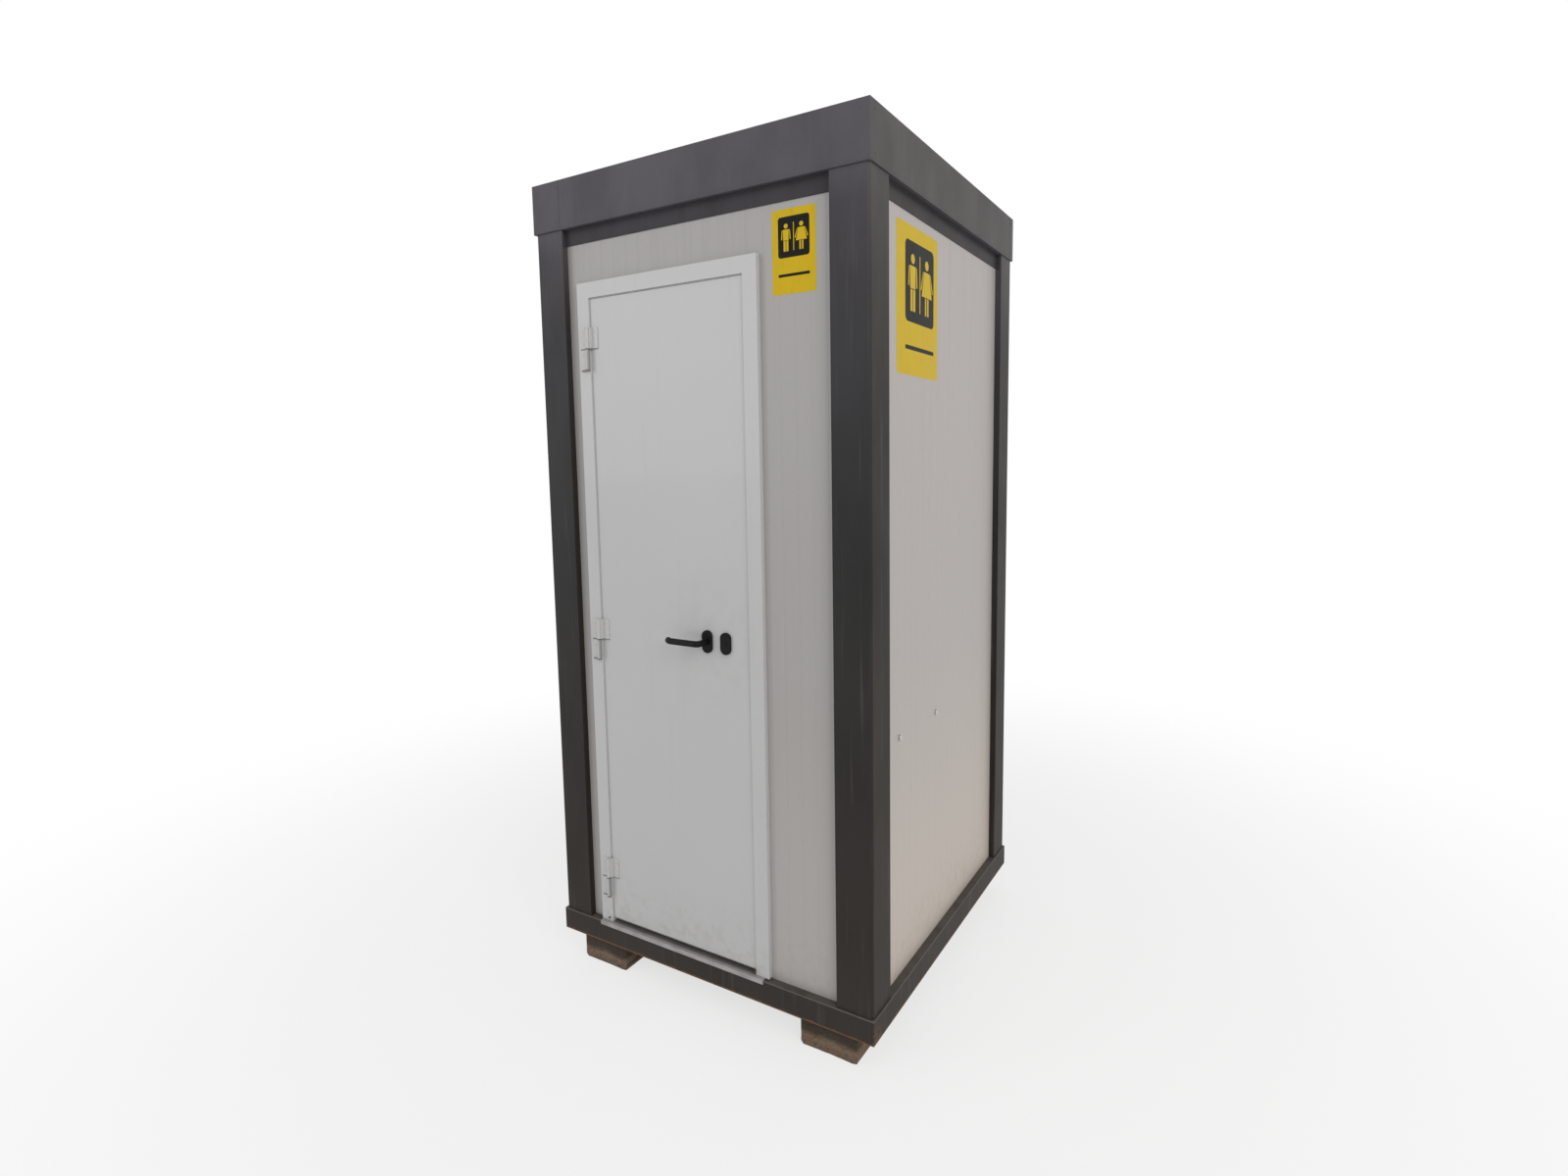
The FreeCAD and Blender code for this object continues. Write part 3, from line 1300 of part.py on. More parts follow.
def make_light():
    """The round light under the ceiling: a flat base and a domed diffuser."""
    base = (("0", "0"), ("light_radius", "0"), ("light_radius", "-light_base"),
            ("0", "-light_base"))
    keep("light_fitting", turned("light_fitting", base, z="ceiling_bottom"))
    dome = (("0", "0"), ("dome_rim_radius", "0"), ("dome_side_radius", "-dome_side_drop"),
            ("dome_shoulder_radius", "-dome_shoulder_drop"), ("dome_crown_radius", "-dome_height"),
            ("0", "-dome_height"))
    keep("light_diffuser", turned("light_diffuser", dome, z="ceiling_bottom - light_base"))


def make_switch():
    """The light switch beside the door: a box with a well, and the rocker in it."""
    face = "-wall_in_y + switch_depth"
    box = block("switch_blank", centred("switch_side", "switch_size"), ("-wall_in_y", face),
                centred("switch_z", "switch_size"))
    well = block("switch_well", centred("switch_side", "rocker_width + 2 * rocker_gap"),
                 (face + " - rocker_depth", face),
                 centred("switch_z", "rocker_height + 2 * rocker_end_gap"))
    keep("light_switch", cut("light_switch", box, well))
    low_end = "switch_z - rocker_height / 2"
    high_end = "switch_z + rocker_height / 2"
    pivot = face + " - rocker_pivot_depth"
    outline = (
        (pivot, low_end),
        (pivot + " + rocker_thickness", low_end),
        (face + " + rocker_ridge", "switch_z"),
        (face + " + rocker_raised_end", high_end),
        (face + " + rocker_raised_end - rocker_thickness * 2", high_end),
        (pivot, "switch_z"),
    )
    low, high = centred("switch_side", "rocker_width")
    keep("switch_rocker", padded("switch_rocker", "YZ_Plane", outline, low, high))


def make_window():
    """A small window in the rear wall whose sash tilts into the cabin from its lower edge."""
    outer_x = centred("0", "window_width")
    clear_x = centred("0", "window_width - 2 * window_profile")
    frame_y = ("wall_in_y", "wall_out_y + window_proud")
    blank = block("window_blank", outer_x, frame_y, ("window_bottom", "window_top"))
    clear = block("window_clear", clear_x, frame_y,
                  ("window_bottom + window_profile", "window_top - window_profile"))
    keep("window_frame", cut("window_frame", blank, clear))
    sash_x = centred("0", "window_width - window_profile")
    sash_z = ("window_bottom + window_profile / 2", "window_top - window_profile / 2")
    sash_y = ("sash_front", "sash_back")
    pane_x = centred("0", "window_width - window_profile - 2 * sash_profile")
    pane_z = (sash_z[0] + " + sash_profile", sash_z[1] + " - sash_profile")
    blank = block("sash_blank", sash_x, sash_y, sash_z)
    pane = block("sash_hole", pane_x, sash_y, pane_z)
    keep("window_sash", cut("window_sash", blank, pane))
    keep("window_glass", block("window_glass", pane_x,
                               centred("(sash_front + sash_back) / 2", "glass_thickness"), pane_z))
    handle_z = sash_z[1] + " - sash_profile / 2"
    stand_off = "sash_front - window_handle_stand_off"
    hub = rod("window_hub", "y", "window_hub_radius", stand_off, "sash_front - lever_gap",
              x="0", z=handle_z)
    grip = block("window_grip", ("0", "window_handle_length"),
                 (stand_off, stand_off + " + window_grip_thickness"),
                 centred(handle_z, "window_grip_width"))
    keep("window_handle", fused("window_handle", hub, grip))


def make_inlet():
    """The mains inlet on the rear wall: a box with a round socket, three pins and two ears."""
    box_y = ("wall_out_y", "inlet_face")
    box = block("inlet_box", centred("inlet_side", "inlet_width"), box_y,
                centred("inlet_z", "inlet_height"))
    bore = rod("inlet_hollow", "y", "inlet_bore", "wall_out_y + inlet_floor", "inlet_face",
               x="inlet_side", z="socket_z")
    pins = []
    for turn in (-90, 30, 150):
        across = "inlet_pin_circle * (%.6f)" % math.cos(math.radians(turn))
        up = "inlet_pin_circle * (%.6f)" % math.sin(math.radians(turn))
        pins.append(rod("inlet_pin_%d" % len(pins), "y", "inlet_pin_radius",
                        "wall_out_y + inlet_floor", "inlet_face - inlet_pin_recess",
                        x="inlet_side + " + across, z="socket_z + " + up))
    ears = []
    for side, x in (("left", ("inlet_side - ear_outside", "inlet_side - ear_inside")),
                    ("right", ("inlet_side + ear_inside", "inlet_side + ear_outside"))):
        ears.append(rod("inlet_ear_" + side, "x", "ear_radius", *x, y="ear_y", z="ear_z"))
        ears.append(block("inlet_ear_foot_" + side, x, ("inlet_face", "ear_y"),
                          ("ear_z - ear_radius", "ear_z + ear_radius")))
    hinge_hole = rod("inlet_hinge_hole", "x", "rain_pin_radius + running_gap",
                     "inlet_side - ear_outside", "inlet_side + ear_outside", y="ear_y", z="ear_z")
    solid = fused("inlet_solid", cut("inlet_shell", box, bore), *pins, *ears)
    keep("power_inlet", cut("power_inlet", solid, hinge_hole))


def make_rain_lid():
    """The lid that hangs over the inlet's socket from a pin through the two ears."""
    lid_y = ("inlet_face + rain_lid_gap", "inlet_face + rain_lid_gap + rain_lid_thickness")
    barrel_x = ("inlet_side - ear_inside + knuckle_gap", "inlet_side + ear_inside - knuckle_gap")
    plate = block("rain_lid_plate", centred("inlet_side", "rain_lid_width"), lid_y,
                  ("inlet_z - rain_lid_reach", "ear_z - ear_radius - knuckle_gap"))
    web = block("rain_lid_web", barrel_x, lid_y, ("ear_z - ear_radius - 2 * knuckle_gap", "ear_z"))
    barrel = rod("rain_lid_barrel", "x", "ear_radius - rain_lid_gap", *barrel_x,
                 y="ear_y", z="ear_z")
    pin = rod("rain_lid_pin", "x", "rain_pin_radius", "inlet_side - ear_outside",
              "inlet_side + ear_outside", y="ear_y", z="ear_z")
    keep("inlet_lid", fused("inlet_lid", plate, web, barrel, pin))


def check_and_export():
    """Recompute, test every object's state and every sub-part's shape, then write the files."""
    doc.recompute()
    for thing in doc.Objects:
        for word in ("Invalid", "Error"):
            if word in thing.State:
                raise RuntimeError("%s is %s" % (thing.Name, thing.State))
    os.makedirs("parts", exist_ok=True)
    for label, thing in pieces.items():
        shape = thing.Shape
        if shape.isNull() or not shape.isValid() or not shape.Solids:
            raise RuntimeError("%s has no valid solid" % label)
        print("%-20s %3d solids %12.0f mm3" % (label, len(shape.Solids), shape.Volume))
        shape.exportStep(os.path.join("parts", label + ".step"))
    print(len(pieces), "sub-parts")


fill_sheet()
make_skids()
make_base()
make_floor()
make_threshold()
make_posts()
make_roof()
make_walls()
make_door_frame()
make_leaf()
make_hinges()
make_roses()
make_handle()
make_lock()
make_pan()
make_cistern()
make_seat()
make_seat_lid()
make_seat_pin()
make_basin()
make_basin_bolts()
make_tap()
make_trap()
make_mirror()
make_roll()
make_light()
make_switch()
make_window()
make_inlet()
make_rain_lid()
check_and_export()
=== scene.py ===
# %% [markdown]
# # A portable toilet cabin
#
# The real thing is a steel box that a forklift sets down on a building site: a folded frame,
# pale sandwich walls, a white door hung on the left, and a small washroom inside.
# The CAD model gives every part its true size and place. This lesson puts the looks on it.
# A part could be drawn again from nothing, or its CAD mesh could be copied and finished.
# Most parts here are copied and finished, because then they stay exactly where they belong.
#
# Blender counts in metres. Where a comment says millimetres, MM turns them into metres.

import json
import math
import random

import bmesh
import bpy
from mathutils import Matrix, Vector, noise
from mathutils.bvhtree import BVHTree


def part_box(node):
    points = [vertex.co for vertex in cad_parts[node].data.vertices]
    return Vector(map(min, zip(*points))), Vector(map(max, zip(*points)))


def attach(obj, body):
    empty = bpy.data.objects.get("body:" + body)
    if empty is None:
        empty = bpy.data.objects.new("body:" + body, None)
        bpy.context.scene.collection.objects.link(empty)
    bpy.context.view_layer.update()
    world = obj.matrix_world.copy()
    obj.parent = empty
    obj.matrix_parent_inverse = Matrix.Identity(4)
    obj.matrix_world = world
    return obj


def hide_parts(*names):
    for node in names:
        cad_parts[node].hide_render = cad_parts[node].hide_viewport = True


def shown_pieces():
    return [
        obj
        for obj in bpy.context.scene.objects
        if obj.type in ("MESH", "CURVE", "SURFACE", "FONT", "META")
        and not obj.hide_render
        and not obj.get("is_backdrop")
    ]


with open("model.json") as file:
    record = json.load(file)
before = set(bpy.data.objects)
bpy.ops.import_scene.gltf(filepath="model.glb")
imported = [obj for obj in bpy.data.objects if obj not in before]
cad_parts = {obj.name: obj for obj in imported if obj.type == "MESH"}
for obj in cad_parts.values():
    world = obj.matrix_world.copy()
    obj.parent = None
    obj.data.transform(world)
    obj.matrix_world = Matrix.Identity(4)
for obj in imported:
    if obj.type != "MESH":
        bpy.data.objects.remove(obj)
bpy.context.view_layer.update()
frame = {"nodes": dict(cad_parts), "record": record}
record = frame["record"]
body_of = {node: body for body, nodes in record["behaviour"]["bodies"].items() for node in nodes}
slot_of = {part["node"]: part["material_slot"] for part in record["subparts"]}
MM = 0.001
HINGE_HEIGHTS = (335, 1150, 2075)

# %% [markdown]
# ## Where the camera stands
#
# The picture was taken from in front and a little to the right, from about head height, with a
# wide lens. The place and the lens could be found by trial. Here they were found from the
# cabin's own straight edges: a point on each corner fixes all of them at once, so the edges lie
# on the picture's edges. The script sets the numbers that came out. The Standard view shows
# each colour as it is worked out, with no film look.

# %% Camera
camera = bpy.data.objects.new("camera", bpy.data.cameras.new("camera"))
camera.location = (1.51393, -2.47130, 1.70080)
camera.rotation_euler = [math.radians(angle) for angle in (83.8885, 0.7529, 30.7175)]
camera.data.sensor_width = 36
camera.data.lens = 18.536
camera.data.shift_x, camera.data.shift_y = -0.01342, -0.02231
camera.data.clip_start = 0.02
bpy.context.scene.collection.objects.link(camera)
bpy.context.scene.camera = camera
bpy.context.scene.view_settings.view_transform = "Standard"
print("camera", round(camera.location.length, 2), "m from the middle of the cabin's foot")

# %% [markdown]
# ## Arithmetic on sockets
#
# A finish on a real part is seldom one colour: paint fades, dust settles, rust creeps up from an
# edge. In Blender each of those is a mask, and a mask is arithmetic. Nodes could be placed and
# linked one by one, which hides the sum that they work out. The class below lets the sum be
# written as a Python expression, and adds a Math node for each sign in it.

# %% A socket that takes part in sums
class Reading:
    """A number or colour that changes over the surface."""

    def __init__(self, finish, socket):
        self.finish, self.socket = finish, socket

    def sum_with(self, operation, first, second):
        return self.finish.node("Math", {"operation": operation}, {0: first, 1: second})

    def __add__(self, other):
        return self.sum_with("ADD", self, other)

    def __sub__(self, other):
        return self.sum_with("SUBTRACT", self, other)

    def __rsub__(self, other):
        return self.sum_with("SUBTRACT", other, self)

    def __mul__(self, other):
        return self.sum_with("MULTIPLY", self, other)

    def __truediv__(self, other):
        return self.sum_with("DIVIDE", self, other)

    def __pow__(self, other):
        return self.sum_with("POWER", self, other)

    def __abs__(self):
        return self.finish.node("Math", {"operation": "ABSOLUTE"}, {0: self})

    __radd__, __rmul__ = __add__, __mul__

    def at_least(self, other):
        return self.sum_with("MAXIMUM", self, other)

    def rising(self, low, high):
        """0 where the reading is below low, 1 above high, and a soft rise between them."""
        return self.finish.node("MapRange", {"interpolation_type": "SMOOTHSTEP"},
                                {"Value": self, "From Min": low, "From Max": high})

    def within(self, low, high, soft):
        """1 between low and high, fading out over a length at both ends."""
        return self.rising(low - soft, low) * (1 - self.rising(high, high + soft))


# %% [markdown]
# ## One material
#
# A material is a list of nodes that ends in a surface shader. The class below keeps the list,
# has one method that adds a node, and names the readings that finishes are made of: the place
# on the part, the way that the surface faces, cloudy noise and the mix of two colours.

# %% A finish and its usual readings
class Finish:
    """One procedural material."""

    def __init__(self, name):
        self.material = bpy.data.materials.new(name)
        self.material.use_nodes = True
        self.tree = self.material.node_tree
        self.tree.nodes.clear()
        self.place = self.node("TexCoord", output="Object")
        self.x, self.y, self.z = self.axes(self.place)
        self.facing = self.node("TexCoord", output="Normal")

    def node(self, kind, settings=None, sockets=None, output=None):
        """Adds a node: its settings first, then its sockets' values or links."""
        made = self.tree.nodes.new("ShaderNode" + kind)
        for name, value in (settings or {}).items():
            if name == "stops":
                while len(made.color_ramp.elements) < len(value):
                    made.color_ramp.elements.new(1)
                for element, (spot, shade) in zip(made.color_ramp.elements, value):
                    element.position, element.color = spot, (*shade, 1)
            else:
                setattr(made, name, value)
        for name, value in (sockets or {}).items():
            named = [s for s in made.inputs if s.enabled and s.name == name]
            socket = made.inputs[name] if isinstance(name, int) else named[0]
            if isinstance(value, Reading):
                self.tree.links.new(value.socket, socket)
            elif socket.type == "RGBA" and len(value) == 3:
                socket.default_value = (*value, 1)
            else:
                socket.default_value = value
        shown = [s for s in made.outputs if s.enabled]
        return Reading(self, made.outputs[output] if output else shown[0]) if shown else made

    def axes(self, vector):
        """The three numbers of a vector."""
        parts = self.node("SeparateXYZ", sockets={"Vector": vector}).socket.node
        return [Reading(self, socket) for socket in parts.outputs]

    def clouds(self, size, detail=3, stretch=(1, 1, 1), shift=0, rough=0.55):
        """Cloudy noise from 0 to 1, with blotches of about this size in metres."""
        spot = self.node("Mapping", sockets={
            "Vector": self.place, "Location": (shift, shift, shift),
            "Scale": [1 / (size * s) for s in stretch]})
        return self.node("TexNoise", sockets={"Vector": spot, "Scale": 1.0, "Detail": detail,
                                              "Roughness": rough})

    def cells(self, size, feature="F1", output="Distance"):
        """Cells of about this size: a cell's colour, or the way to its middle or its edge."""
        spot = self.node("Mapping", sockets={"Vector": self.place, "Scale": [1 / size] * 3})
        return self.node("TexVoronoi", {"feature": feature}, {"Vector": spot, "Scale": 1.0},
                         output)

    def wave(self, reading, pitch):
        """A smooth swing from 0 to 1 and back, once for each pitch along a reading."""
        turn = reading * (2 * math.pi / pitch)
        return self.node("Math", {"operation": "SINE"}, {0: turn}) * 0.5 + 0.5

    def mix(self, share, first, second):
        """The first colour where share is 0 and the second where it is 1."""
        return self.node("Mix", {"data_type": "RGBA", "clamp_factor": True},
                         {"Factor": share, "A": first, "B": second})

    def multiply(self, share, colour, shade):
        """The colour darkened or tinted by a shade, as far as share says."""
        return self.node("Mix", {"data_type": "RGBA", "blend_type": "MULTIPLY"},
                         {"Factor": share, "A": colour, "B": shade})

    def raised(self, height, depth):
        """The surface's normal over a relief of this depth in metres."""
        return self.node("Bump", sockets={"Height": height, "Distance": depth, "Strength": 1.0})

    def surface(self, **sockets):
        """Ends the material in the main shader, and returns the material."""
        named = {name.replace("_", " ").title().replace("Ior", "IOR"): value
                 for name, value in sockets.items()}
        shader = self.node("BsdfPrincipled", sockets=named)
        return self.finished(shader)

    def finished(self, shader):
        """Links a shader to the material's end."""
        self.node("OutputMaterial", sockets={"Surface": shader})
        return self.material


# %% [markdown]
# ## The studio
#
# A product picture wants a pale floor that still takes the object's shadow, and a background
# that is plain white. More light would whiten the background, but it would burn out the walls
# too. So the floor is part paint and part plain white, all white from a few metres off, and only
# for the camera, for reflections and for what is seen through glass. Light Path tells the
# shader which ray is asking.

# %% Floor
def ray_sees_background(finish):
    """1 for the rays that should find a white background."""
    return (finish.node("LightPath", output="Is Camera Ray")
            .at_least(finish.node("LightPath", output="Is Glossy Ray"))
            .at_least(finish.node("LightPath", output="Is Transmission Ray")))


studio = Finish("studio_floor")
distance = (studio.x ** 2 + studio.y ** 2) ** 0.5
matte = studio.node("BsdfDiffuse", sockets={"Color": (0.9, 0.9, 0.9)})
white = studio.node("Emission", sockets={"Color": (1, 1, 1), "Strength": 1.0})
whitened = distance.rising(1.0, 4.0) * 0.30 + 0.70
floor_shader = studio.node("MixShader", sockets={
    0: ray_sees_background(studio) * whitened, 1: matte, 2: white})
studio.finished(floor_shader)
bpy.ops.mesh.primitive_circle_add(vertices=96, radius=60, fill_type="NGON")
floor = bpy.context.object
floor.name = "floor"
floor.data.materials.append(studio.material)
floor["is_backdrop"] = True
print("floor", floor.dimensions.x, "m across")

# %% [markdown]
# The light comes from a white sky all round, with one large soft lamp from the right, in front,
# that makes the right side a little brighter than the door side, as in the picture, and a weaker
# one from the left. Their strengths are set so that a colour renders about as it is written.

# %% Sky and lamps
SKY_LIGHT = 0.52


def big_lamp(name, place, target, side, watts):
    """A square lamp that looks at a point."""
    lamp = bpy.data.objects.new(name, bpy.data.lights.new(name, "AREA"))
    lamp.data.shape, lamp.data.size, lamp.data.energy = "SQUARE", side, watts
    lamp.location = place
    lamp.rotation_euler = (Vector(target) - Vector(place)).to_track_quat("-Z", "Y").to_euler()
    bpy.context.scene.collection.objects.link(lamp)


sky = bpy.data.worlds.new("studio_sky")
sky.use_nodes = True
sky.node_tree.nodes.clear()
bpy.context.scene.world = sky
# A sky has no place on a part to read, so it takes only the method that adds nodes.
sky_nodes = Finish.__new__(Finish)
sky_nodes.tree = sky.node_tree
seen = ray_sees_background(sky_nodes)
strength = seen * (1 - SKY_LIGHT) + SKY_LIGHT
sky_shader = sky_nodes.node("Background", sockets={"Color": (1, 1, 1), "Strength": strength})
sky_nodes.node("OutputWorld", sockets={"Surface": sky_shader})
big_lamp("key_lamp", (6.5, -4.0, 5.0), (0, 0, 1.2), 4.0, 185)
big_lamp("fill_lamp", (-4.5, -6.0, 3.5), (0, 0, 1.2), 4.0, 65)
print("sky at", SKY_LIGHT, "with two lamps")

# %% [markdown]
# ## Steel paint on the frame
#
# The frame is folded sheet steel with a dark grey coat that has stood outside for years. The
# coat is a little purple and lighter near the roof, and darker and browner towards the ground.
# Fine vertical runs and cloudy patches break it up, dust lies on what faces up, and rust creeps
# up from the bottom edge near the front corner. Painted light makes the side faces lighter and
# warmer near the roof, a painted highlight runs along the top edge of the base, and painted
# shade darkens the recessed strip under the roof's edge.
# A plain gradient would look like plastic, so each of those is its own mask over the base.

# %% Frame paint
def frame_paint():
    """Weathered dark grey paint on folded steel."""
    paint = Finish("frame_paint")
    colour = paint.node("ValToRGB", {"stops": [
        (0.00, (0.036, 0.028, 0.023)), (0.16, (0.026, 0.020, 0.017)),
        (0.55, (0.023, 0.023, 0.023)), (0.80, (0.042, 0.040, 0.044)),
        (0.91, (0.068, 0.063, 0.072)), (0.95, (0.108, 0.101, 0.115))]}, {"Fac": paint.z / 2.6})
    # Painted light: faces that look sideways are painted lighter and warmer near the roof, as if
    # lit more strongly than the front.
    lit_sides = abs(paint.axes(paint.facing)[0]).rising(0.5, 0.9)
    side_light_tone = paint.mix(paint.z.rising(2.1, 2.5), (0.028, 0.019, 0.011), (0.096, 0.084, 0.070))
    colour = paint.mix(lit_sides * 0.45, colour, side_light_tone)
    blotches = paint.clouds(0.16, detail=4, stretch=(1, 1, 2.2))
    colour = paint.multiply(blotches.rising(0.35, 0.75) * 0.55, colour, (0.62, 0.61, 0.60))
    runs = paint.clouds(0.018, stretch=(1, 1, 26), shift=3)
    colour = paint.mix(runs.rising(0.55, 0.80) * 0.30, colour, (0.130, 0.120, 0.105))
    up = paint.axes(paint.facing)[2].rising(0.6, 0.95)
    dust = paint.clouds(0.05, detail=5).rising(0.25, 0.65)
    colour = paint.mix(up * (dust * 0.5 + 0.35), colour, (0.115, 0.104, 0.092))
    # Painted highlight: a thin pale line along the top edge of the base's outer faces.
    outer = abs(paint.x).at_least(abs(paint.y)).rising(0.5975, 0.5995)
    lip = outer * paint.z.within(0.1712, 0.1740, 0.0012)
    colour = paint.mix(lip * 0.55, colour, (0.210, 0.190, 0.175))
    # Painted shade: the recessed strip under the roof's edge is darkened.
    inset = 1 - abs(paint.x).at_least(abs(paint.y)).rising(0.586, 0.592)
    recess_shade = inset * paint.z.within(2.400, 2.452, 0.004)
    colour = paint.multiply(recess_shade * 0.75, colour, (0.50, 0.49, 0.50))
    specks = paint.cells(0.012).rising(0.05, 0.16)
    colour = paint.multiply((1 - specks) * 0.35 * blotches, colour, (0.45, 0.42, 0.40))
    creep = paint.clouds(0.035, detail=6, rough=0.7)
    low_edge = 1 - (paint.z + creep * -0.016).rising(0.0935, 0.1000)
    corner = paint.x.rising(0.594, 0.598) * (1 - (paint.y + paint.z * 1.3).rising(-0.45, -0.36))
    patch = corner * paint.clouds(0.022, detail=5, shift=7, rough=0.65).rising(0.44, 0.62)
    rust = (low_edge * 0.75).at_least(patch * 0.7) * (1 - up)
    rusty = paint.mix(paint.clouds(0.008, detail=4, shift=1), (0.115, 0.050, 0.022),
                      (0.290, 0.145, 0.068))
    colour = paint.mix(rust, colour, rusty)
    rough = (blotches * 0.16 + 0.50 + dust * up * 0.25).at_least(rust * 0.9)
    peel = paint.clouds(0.0035, detail=2) * 0.35 + creep * rust * 0.65
    return paint.surface(base_color=colour, roughness=rough, specular_ior_level=0.22,
                         normal=paint.raised(peel, 0.0006))


# %% [markdown]
# ## Sandwich walls
#
# The walls are thin coated steel on both sides of a foam core. The coat is an off white that
# has gone slightly warm, pressed with faint upright lines a hand's width apart. Rain leaves pale
# grey runs below the roof and splashed dirt above the base, and the ground throws a warm light
# on the lower half. The lines follow the wall, so the reading along them swaps from x to y where
# a wall faces sideways. Indoors the same sheet has stayed whiter.

# %% Wall coat
def wall_coat():
    """Off-white coated sheet with faint upright lines, runs and splash dirt."""
    coat = Finish("wall_coat")
    sideways = abs(coat.axes(coat.facing)[0]).rising(0.4, 0.6)
    along = coat.x * (1 - sideways) + coat.y * sideways
    line = coat.wave(along, 0.050).rising(0.93, 1.0)
    tone = coat.clouds(0.55)
    colour = coat.mix(tone, (0.400, 0.382, 0.366), (0.426, 0.414, 0.402))
    # Painted light: the walls that face sideways are painted lighter and warmer than the front and
    # back.
    colour = coat.mix(sideways * 0.6, colour, (0.540, 0.488, 0.458))
    low = 1 - coat.z.rising(0.20, 1.20)
    colour = coat.mix(low * sideways * 0.8, colour, (0.640, 0.565, 0.485))
    colour = coat.mix(low * (1 - sideways) * 0.8, colour, (0.485, 0.452, 0.430))
    inside = 1 - abs(coat.x).at_least(abs(coat.y)).rising(0.535, 0.545)
    colour = coat.mix(inside, colour, coat.mix(tone, (0.560, 0.555, 0.540),
                                               (0.610, 0.606, 0.592)))
    # Painted shade: the pressed lines are darkened a little where their relief dips.
    colour = coat.multiply(line * 0.07, colour, (0.72, 0.70, 0.68))
    runs = coat.clouds(0.030, detail=4, stretch=(1, 1, 30), shift=2)
    runs = runs.rising(0.52, 0.78) * (coat.z.rising(1.1, 2.4) * 0.7 + 0.3)
    colour = coat.multiply(runs * 0.08, colour, (0.66, 0.64, 0.60))
    splash = (1 - coat.z.rising(0.17, 0.42)) * coat.clouds(0.03, detail=6).rising(0.45, 0.70)
    colour = coat.multiply(splash * 0.16, colour, (0.60, 0.55, 0.48))
    specks = coat.cells(0.045)
    colour = coat.multiply((1 - specks.rising(0.018, 0.045)) * 0.35, colour, (0.55, 0.50, 0.44))
    rough = tone * 0.10 + 0.36 + runs * 0.10 + splash * 0.25
    relief = coat.clouds(0.004, detail=2) * 0.12 - line * 0.9
    return coat.surface(base_color=colour, roughness=rough,
                        normal=coat.raised(relief, 0.0003))


# %% [markdown]
# ## Door enamel
#
# The door and its frame are whiter and smoother than the walls. Hands leave a grey haze round
# the lever, shoes scuff the foot of the leaf, and dirt gathers low down. The same enamel is on
# the hinges, where a thin rust stain bleeds from under the plates, and painted shade darkens the
# line between the two halves, the lower end and the right-facing side of the lower half.

# %% Door enamel and hinge enamel
def enamel(name, base, worn, rust_share):
    """White enamel with a haze of use; where rust_share is given, rust stains as far as it says
    and painted shade at the hinges' joints.
    """
    coat = Finish(name)
    tone = coat.clouds(0.35)
    colour = coat.mix(tone, base, worn)
    lever_x, lever_z = 0.08, 1.185
    touch = ((coat.x - lever_x) ** 2 + (coat.z - lever_z) ** 2) ** 0.5
    haze = (1 - touch.rising(0.03, 0.30)) * coat.clouds(0.05, detail=4).rising(0.35, 0.7)
    colour = coat.multiply(haze * 0.16, colour, (0.70, 0.68, 0.66))
    foot = (1 - coat.z.rising(0.19, 0.40)) * coat.clouds(0.025, detail=6).rising(0.44, 0.70)
    colour = coat.multiply(foot * 0.24, colour, (0.60, 0.56, 0.50))
    runs = coat.clouds(0.022, stretch=(1, 1, 28), shift=5).rising(0.56, 0.80)
    colour = coat.multiply(runs * 0.07, colour, (0.66, 0.66, 0.66))
    if rust_share:
        stain = coat.clouds(0.006, detail=5, stretch=(1, 1, 3)).rising(0.58, 0.74)
        colour = coat.mix(stain * rust_share, colour, (0.33, 0.20, 0.11))
        # Painted shade on the hinges: a dark line at the joint of the two halves, a dark spot at
        # the pin's lower end, and a darker right-facing flank below the joint.
        away = coat.axes(coat.facing)[0].rising(0.2, 0.7)
        for middle in (height * MM for height in HINGE_HEIGHTS):
            joint_shade = coat.z.within(middle - 0.0012, middle + 0.0022, 0.0016)
            shaded_pin_end = coat.z.within(middle - 0.0690, middle - 0.0625, 0.0020)
            shaded_flank = away * coat.z.within(middle - 0.066, middle, 0.001) * 0.6
            hinge_shade = joint_shade.at_least(shaded_pin_end).at_least(shaded_flank)
            colour = coat.multiply(hinge_shade * 0.85, colour, (0.20, 0.19, 0.18))
    rough = tone * 0.08 + 0.30 + haze * 0.12 + foot * 0.25
    return coat.surface(base_color=colour, roughness=rough, coat_weight=0.15,
                        normal=coat.raised(coat.clouds(0.003, detail=2) * 0.15, 0.0004))


# %% [markdown]
# ## Timber bearers
#
# The cabin stands on two sawn beams. Sawn softwood shows long grain on its faces and rings on
# its ends, drying cracks along the grain, and saw marks across it. The rings are circles round
# a pith line under the beam, so both the long grain and the end rings come from one reading:
# the distance to that line, bent a little by noise.

